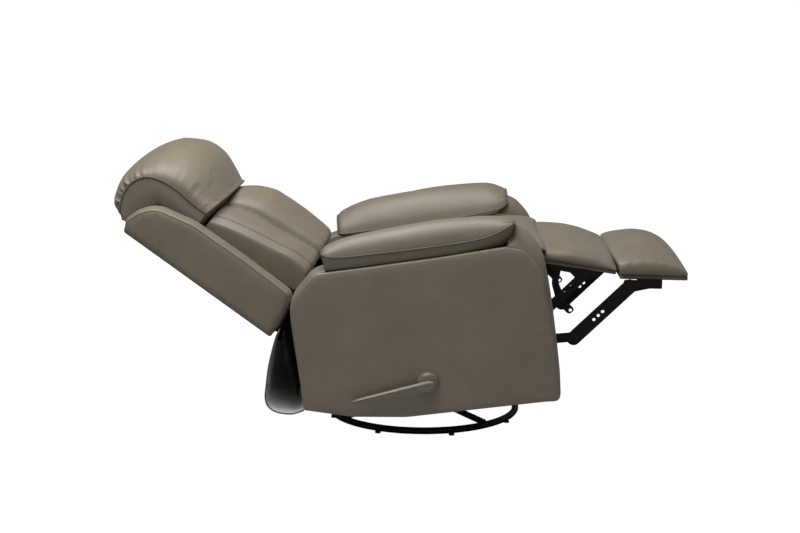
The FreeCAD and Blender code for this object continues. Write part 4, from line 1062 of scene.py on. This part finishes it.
def lumbar_cushion():
    """Back cushion of three sewn channels, the middle one wide, drawn in at the lower end."""
    half, seam_at = 278.0, 150.0
    cell, faces = box_skin(shares(64, 0.25), shares(110, 0.15), shares(5))
    u, t, w = cell[:, 0], 2 * cell[:, 1] - 1, cell[:, 2]
    z = -14 + 346 * u
    edge, groove, crown = smooth(LUMBAR, z).T
    y = t * half
    outer = np.abs(y) > seam_at
    s = np.where(outer, (np.abs(y) - seam_at) / (half - seam_at), np.abs(y) / seam_at)
    side = groove + (edge - groove) * s + 20 * np.sin(math.pi * np.clip(s, 0, 1))**0.8
    middle = groove + (crown - groove) * (1 - s**2.4)**0.62
    x = np.where(outer, side, middle)
    top = w > 0.999
    spot = np.where(top, x, -19.6 + (x + 19.6) * w)
    points = np.stack([spot, y, z], axis=1)
    rim = (np.abs(np.abs(t) - 1) < 1e-6) | (u < 1e-6) | (u > 1 - 1e-6)
    columns = np.unique(t)
    fine = columns[np.argmin(np.abs(columns * half - 254))]
    on_seam = np.exp(-((np.abs(y) - seam_at) / 3)**2)
    pinned = np.clip(np.where(top & ~rim, on_seam, 1.0), 0, 1)
    faces = flipped(faces)
    points = plump("lumbar", points, faces, pressure=2.5, cap=10.0, pinned=pinned)
    normal = vertex_normals(points, faces)
    dent = np.where(top & ~rim, 1.0, 0.0)
    from_seam = np.abs(np.abs(y) - seam_at)
    from_low = u * 346
    wrinkles = (np.exp(-from_low / 46) * puckers(y, 61, 26) * 6.0
                + np.exp(-from_seam / 14) * puckers(z, 62, 22) * (0.3 + 2.5 * np.exp(-from_low / 32)))
    from_fine = np.abs(np.abs(t) - fine) * half
    valley = 4.0 * np.exp(-(from_seam / 4.5)**2) + 1.0 * np.exp(-(from_fine / 2.5)**2)
    soft = 1.1 * ripple(z / 100, y / 90, 63, 3)
    points = points + normal * (dent * (soft - wrinkles - valley))[:, None]
    # Painted shade: dark in the channel seams and along the fine stitched line, the boxed sides a little darker.
    painted_shade = np.where(top, np.maximum(0.7 * np.exp(-(from_seam / 4)**2), 0.8 * np.exp(-(from_fine / 2)**2)), 0.15)
    obj = mesh_piece("lumbar_cushion_cover", world(points, BACK), faces, LEATHER, painted_shade, "backrest")
    finish_soft(obj)
    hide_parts("lumbar_cushion")
    lifted = points + normal * 0.5
    lines = [through(lifted[top & (np.abs(t - place) < 1e-6)][3:-3], 160) for place in (-fine, fine)]
    stitched("lumbar_stitches", lines, "backrest", BACK)
    return obj


lumbar_cushion()

WING_SIDE = [(-135, -30, 8), (-88, -24, 6), (-14, -12, 14), (6, 6, 20), (10, 180, 300), (6, 366, 160), (-20, 484, 90),
             (-62, 517, 40), (-104, 532, 12), (-135, 523, 10)]


def wing(name, side):
    """Side of the back: a flat panel with a rounded border strip stitched along its front and top edge."""
    count = 320
    edge = rounded(WING_SIDE, count)
    middle = np.array([-64.0, 250.0])
    ahead = np.roll(edge, -1, axis=0) - np.roll(edge, 1, axis=0)
    ahead /= np.linalg.norm(ahead, axis=1, keepdims=True)
    normal = np.stack([-ahead[:, 1], ahead[:, 0]], axis=1)
    normal *= np.sign((normal * (middle - edge)).sum(axis=1, keepdims=True))
    rise = np.clip((edge[:, 0] + 128) / 30, 0, 1)
    rings, ys, painted_shade = [], [], []
    # Painted shade: the third number darkens the hidden back ring and, most, the groove by the border strip.
    profile = ((0, 292, 0.3), (-5, 297, 0.0), (-9, 307, 0.0), (-10, 320, 0.0), (-9, 334, 0.0), (-6, 347, 0.0),
               (-2.5, 355, 0.0), (0.8, 358.6, 0.2), (2.4, 357.4, 0.95), (4.0, 359.4, 0.2))
    for inset, y, ring_shade in profile:
        inset = inset * rise if inset < 0 else inset
        rings.append(edge + normal * np.reshape(inset * np.ones(count), (-1, 1)))
        ys.append(np.full(count, float(y)))
        painted_shade.append(np.full(count, ring_shade))
    spots, inner = inner_fill(rings[-1], 12.0)
    back_spots, back_face = inner_fill(rings[0], 40.0)
    flat = np.vstack(rings + [spots, back_spots])
    deep = near(np.c_[spots, np.zeros(len(spots))], np.c_[rings[-1], np.zeros(count)])[0]
    ripples = 0.6 * ripple(spots[:, 0] / 70, spots[:, 1] / 70, 14, 2) * (1 - np.exp(-deep / 30))
    puff = 359.4 + 1.6 * (1 - np.exp(-deep / 7)) + 1.4 * (1 - np.exp(-deep / 50)) + ripples
    ys = np.concatenate(ys + [puff, np.full(len(back_spots), 292.0)])
    points = np.stack([flat[:, 0], ys * side, flat[:, 1]], axis=1)
    faces = []
    total = len(rings)
    for r in range(total - 1):
        for i in range(count):
            j = (i + 1) % count
            faces.append((r * count + i, r * count + j, (r + 1) * count + j, (r + 1) * count + i))
    if side > 0:
        faces = [tuple(reversed(f)) for f in faces]
    start, back_start = (total - 1) * count, total * count + len(spots) - count
    outward = np.array([0, side, 0])
    faces += facing(points, [[start + i for i in face] for face in inner], outward)
    faces += facing(points, [[i if i < count else back_start + i for i in face] for face in back_face], -outward)
    painted_shade = painted_shade + [np.zeros(len(spots) + len(back_spots))]
    obj = mesh_piece("back_wing_cover_" + name, world(points, BACK), faces, LEATHER, np.concatenate(painted_shade), "backrest")
    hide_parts("back_wing_" + name)
    front = (edge[:, 0] > -112) & ((edge[:, 1] > -10) | (edge[:, 0] > -40))
    order = np.argsort(np.where(front, np.arange(count), -1))
    line = edge[front] + normal[front] * 5.2
    line = np.stack([line[:, 0], np.full(len(line), 360.9 * side), line[:, 1]], axis=1)
    gaps = np.linalg.norm(np.diff(line, axis=0), axis=1)
    cut = int(np.argmax(gaps)) + 1 if gaps.max() > 12 else 0
    line = np.vstack([line[cut:], line[:cut]])
    stitched("back_wing_stitches_" + name, [line], "backrest", BACK)
    return obj


both_sides(wing)


def rear_cover():
    """Leather over the back of the backrest, pulled taut between two seams."""
    cell, faces = box_skin(shares(60, 0.3), shares(60, 0.3), shares(2))
    u, t, w = cell[:, 0], 2 * cell[:, 1] - 1, cell[:, 2]
    z = -20 + 552 * u
    y = t * 291
    skin = w < 0.001
    bulge = 5 * (1 - t**4) * np.clip(np.sin(math.pi * u), 0, 1)**0.5
    seam = 2.0 * (np.exp(-((np.abs(y) - 165) / 3)**2))
    x = np.where(skin, -135.5 - bulge + seam + 0.6 * ripple(z / 90, y / 90, 17, 2), -124 - 11 * (1 - w))
    # Painted shade: darker along the two seams.
    obj = mesh_piece("back_rear_cover", world(np.stack([x, y, z], axis=1), BACK), flipped(faces), LEATHER_TAUT,
                     np.where(skin, 0.3 * np.exp(-((np.abs(y) - 165) / 3)**2), 0), "backrest")
    finish_soft(obj)
    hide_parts("back_rear_panel")
    return obj


rear_cover()


# Rear flap, lever

FLAP = [(-414, 404), (-424, 384), (-441, 344), (-461, 292), (-476, 236), (-482, 204), (-478, 180), (-462, 162),
        (-436, 151), (-404, 146), (-370, 152)]


def rear_flap():
    """Hanging flap from the foot of the backrest to the seat body's rear edge, leather outside and lined."""
    line = through(FLAP, 60)
    half, cuts = 400.0, 60
    ys = np.linspace(-half, half, cuts + 1)
    along = np.linspace(0, 1, 60)
    ahead = np.gradient(line, axis=0)
    ahead /= np.linalg.norm(ahead, axis=1, keepdims=True)
    out = np.stack([-ahead[:, 1], ahead[:, 0]], axis=1)
    if out[30, 0] > 0:
        out = -out
    points = []
    for thick in (0.0, 2.4):
        for i, (spot, normal) in enumerate(zip(line, out)):
            sway = 3.0 * ripple(ys / 120, np.full_like(ys, along[i] * 3), 71, 2) * math.sin(math.pi * along[i])
            place = spot[None] + normal[None] * (thick + sway[:, None])
            points.append(np.stack([place[:, 0], ys, place[:, 1]], axis=1))
    points = np.vstack(points)
    rows, cols = 60, cuts + 1
    faces, inner_faces = [], []
    def at(layer, i, j):
        return (layer * rows + i) * cols + j
    for i in range(rows - 1):
        for j in range(cols - 1):
            inner_faces.append((at(0, i, j), at(0, i + 1, j), at(0, i + 1, j + 1), at(0, i, j + 1)))
            faces.append((at(1, i, j), at(1, i, j + 1), at(1, i + 1, j + 1), at(1, i + 1, j)))
    for i in range(rows - 1):
        faces.append((at(0, i, 0), at(1, i, 0), at(1, i + 1, 0), at(0, i + 1, 0)))
        faces.append((at(0, i, cols - 1), at(0, i + 1, cols - 1), at(1, i + 1, cols - 1), at(1, i, cols - 1)))
    for j in range(cols - 1):
        faces.append((at(0, 0, j), at(0, 0, j + 1), at(1, 0, j + 1), at(1, 0, j)))
        faces.append((at(0, rows - 1, j), at(1, rows - 1, j), at(1, rows - 1, j + 1), at(0, rows - 1, j + 1)))
    # The leather is darkened evenly through the painted shade attribute.
    obj = mesh_piece("rear_flap", world(points, LEVEL), inner_faces + faces, LEATHER, np.full(len(points), 0.1))
    obj.data.materials.append(LINING)
    for polygon in obj.data.polygons[:len(inner_faces)]:
        polygon.material_index = 1
    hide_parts("rear_skirt")
    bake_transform(obj)
    for name, column in (("right", 0), ("left", cols - 1)):
        # Bindings in the darkened welt leather: painted shade along the flap's open edges.
        rim_line = (points[column:rows * cols:cols] + points[rows * cols + column::cols]) / 2
        binding = tube("rear_flap_binding_" + name, rim_line[:rows], 2.6, SHADED_WELT, place=LEVEL)
        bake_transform(binding)
    return obj


rear_flap()


def inner_shade_sheet():
    """Near-black sheet hanging inside the flap, from the backrest's foot down behind the seat body: painted shade for
    the dark space under the seat.
    """
    line = through([(-404, 392), (-398, 330), (-390, 260), (-384, 196)], 40)
    cell, faces = box_skin(shares(40), shares(60), (0, 1))
    u, t, w = cell[:, 0], 2 * cell[:, 1] - 1, cell[:, 2]
    at = np.linspace(0, 1, 40)
    x, z = (np.interp(u, at, line[:, i]) for i in (0, 1))
    x = x - 1.2 * w + 3 * ripple(t * 3, u, 72, 2) * u
    obj = mesh_piece("rear_shade_sheet", world(np.stack([x, t * 393, z], axis=1), LEVEL), faces, SHADE_CLOTH)
    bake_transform(obj)


inner_shade_sheet()


def release_lever():
    """Moulded handle: a domed boss and a blade that tapers to its tip, ridged along its upper side."""
    root, tip, long, drop = 19.0, 8.0, 240.0, math.radians(6.0)
    cell, faces = box_skin(shares(48, 0.1), shares(12, 0.5), shares(6))
    u, t, w = cell[:, 0], 2 * cell[:, 1] - 1, cell[:, 2]
    x = root - (long + root) * u
    half = root + (tip - root) * u
    end = np.clip((u - 0.9) / 0.1, 0, 1)
    start = np.clip((0.12 - u) / 0.12, 0, 1)
    half = half * np.sqrt(1 - 0.75 * end**2) * np.sqrt(1 - 0.7 * start**2)
    z = -tip + t * half
    depth = 14.0 - 4.0 * u
    ridge = 2.4 * np.exp(-((t - 0.55) / 0.22)**2) * (1 - 0.5 * end) * (1 - start)
    y = np.where(w > 0.999, depth * (1 - 0.28 * np.abs(t)**4) * (1 - 0.3 * end**2) + ridge,
                 depth * w * (1 - 0.28 * np.abs(t)**4) * (1 - 0.3 * end**2))
    x, z = x * math.cos(drop) - z * math.sin(drop) * -1, z * math.cos(drop) + x * math.sin(drop)
    blade = np.stack([22 + x, -(ARM_OUTER + 18.4 + y), 201 + z], axis=1)
    obj = mesh_piece("lever_blade", world(blade, LEVEL), flipped(faces), PLASTIC, body="lever")
    finish_soft(obj, 2)
    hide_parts("release_lever")
    rings, faces, sides = [], [], 64
    for radius, out in ((34, 0.6), (34, 3), (33.4, 6), (31.5, 12), (29.5, 16.5), (26, 19.0), (20, 20.6), (10, 21.4)):
        angles = np.linspace(0, 2 * math.pi, sides, endpoint=False)
        rings.append(np.stack([22 + radius * np.cos(angles), np.full(sides, -(ARM_OUTER + out)),
                               201 + radius * np.sin(angles)], axis=1))
    points = np.vstack(rings + [[[22, -(ARM_OUTER + 21.6), 201]]])
    for r in range(len(rings) - 1):
        for i in range(sides):
            j = (i + 1) % sides
            faces.append((r * sides + i, r * sides + j, (r + 1) * sides + j, (r + 1) * sides + i))
    faces += [((len(rings) - 1) * sides + i, (len(rings) - 1) * sides + (i + 1) % sides, len(rings) * sides)
              for i in range(sides)]
    faces.append(tuple(reversed(range(sides))))
    boss = mesh_piece("lever_boss", world(points, LEVEL), faces, PLASTIC, body="lever")
    finish_soft(boss)


release_lever()

# Finishes on the pieces that the frame brings

CAD_FINISH = {
    BLACK: ["base_ring", "base_cross_arms", "carriage_frame", "glide_links_front", "glide_links_rear", "cradle_rails",
            "cradle_cross_tubes", "mechanism_plates", "mechanism_pins", "seat_cross_tubes", "tilt_brackets",
            "back_hinge_brackets", "back_hinge_arms", "lower_inner_links", "long_footrest_links",
            "upper_inner_links", "mid_footrest_links", "lower_knee_rivets", "foot_pivot_rivets",
            "upper_knee_rivets", "mid_pivot_rivets", "foot_brackets", "mid_brackets", "mid_struts", "drive_tube"],
    ZINC: ["swivel_lower_race", "swivel_upper_race", "swivel_bearing_balls", "swivel_king_bolt", "glide_top_pins",
           "glide_low_pins_front", "glide_low_pins_rear", "tilt_pins", "seat_springs", "back_hinge_pins"],
    WOOD: ["arm_frames", "seat_deck_frame", "rear_rail", "back_frame"],
    LEATHER_TAUT: ["arm_inner_panels"],
    WEBBING: ["back_webbing"],
    RUBBER: ["base_feet"],
}
for finish, names in CAD_FINISH.items():
    for name in names:
        mesh = NODES[name].data
        mesh.materials.clear()
        mesh.materials.append(finish)


# Floor, light and camera

def studio():
    """Pale floor that keeps the shadow, soft lamps from above and in front, and the photograph's camera."""
    bpy.ops.mesh.primitive_plane_add(size=400)
    floor = bpy.context.object
    floor.name = "studio_floor"
    material, tree, shader = blank("white floor")
    shader.inputs["Base Color"].default_value = (0.45, 0.45, 0.45, 1)
    shader.inputs["Roughness"].default_value = 0.9
    shader.inputs["Specular IOR Level"].default_value = 0.1
    glow = node(tree, "ShaderNodeEmission", Color=(1, 1, 1, 1), Strength=1.25)
    path = node(tree, "ShaderNodeLightPath")
    lit = node(tree, "ShaderNodeMath", operation="MULTIPLY")
    lit.inputs[1].default_value = 0.8
    mixer = node(tree, "ShaderNodeMixShader")
    out = tree.nodes["Material Output"]
    tree.links.new(path.outputs["Is Camera Ray"], lit.inputs[0])
    tree.links.new(lit.outputs["Value"], mixer.inputs["Fac"])
    tree.links.new(shader.outputs["BSDF"], mixer.inputs[1])
    tree.links.new(glow.outputs["Emission"], mixer.inputs[2])
    tree.links.new(mixer.outputs["Shader"], out.inputs["Surface"])
    floor.data.materials.append(material)

    sky = bpy.data.worlds.new("studio")
    SCENE.world = sky
    sky.use_nodes = True
    tree = sky.node_tree
    back = tree.nodes["Background"]
    back.inputs["Color"].default_value = (1, 1, 1, 1)
    path = node(tree, "ShaderNodeLightPath")
    seen = node(tree, "ShaderNodeMath", operation="MAXIMUM")
    level = node(tree, "ShaderNodeMapRange")
    level.inputs["To Min"].default_value = 0.25
    level.inputs["To Max"].default_value = 1.0
    tree.links.new(path.outputs["Is Camera Ray"], seen.inputs[0])
    tree.links.new(path.outputs["Is Transmission Ray"], seen.inputs[1])
    tree.links.new(seen.outputs["Value"], level.inputs["Value"])
    tree.links.new(level.outputs["Result"], back.inputs["Strength"])

    def lamp(name, at, aim, wide, power):
        light = bpy.data.lights.new(name, "AREA")
        light.shape = "RECTANGLE"
        light.size, light.size_y = wide
        light.energy = power
        obj = bpy.data.objects.new(name, light)
        obj.location = at
        obj.rotation_mode = "QUATERNION"
        obj.rotation_quaternion = (Vector(aim) - Vector(at)).to_track_quat("-Z", "Y")
        SCENE.collection.objects.link(obj)

    lamp("overhead_softbox", (-0.6, -0.85, 3.0), (0, 0, 0.5), (2.2, 1.6), 142)
    lamp("front_softbox", (-0.6, -3.6, 2.6), (0, 0, 0.45), (2.4, 1.8), 9)
    lamp("side_softbox", (2.6, 1.2, 2.2), (0.2, 0, 0.5), (1.6, 1.6), 6)

    lens = bpy.data.cameras.new("photo_camera")
    lens.lens, lens.sensor_width = 72.195, 36.0
    lens.clip_end = 500
    camera = bpy.data.objects.new("photo_camera", lens)
    camera.location = (0.0772, -5.1687, 1.4108)
    camera.rotation_euler = (math.radians(90 - 10.144), 0, math.radians(1.7046))
    SCENE.collection.objects.link(camera)
    SCENE.camera = camera
    SCENE.view_settings.view_transform = "Standard"


studio()
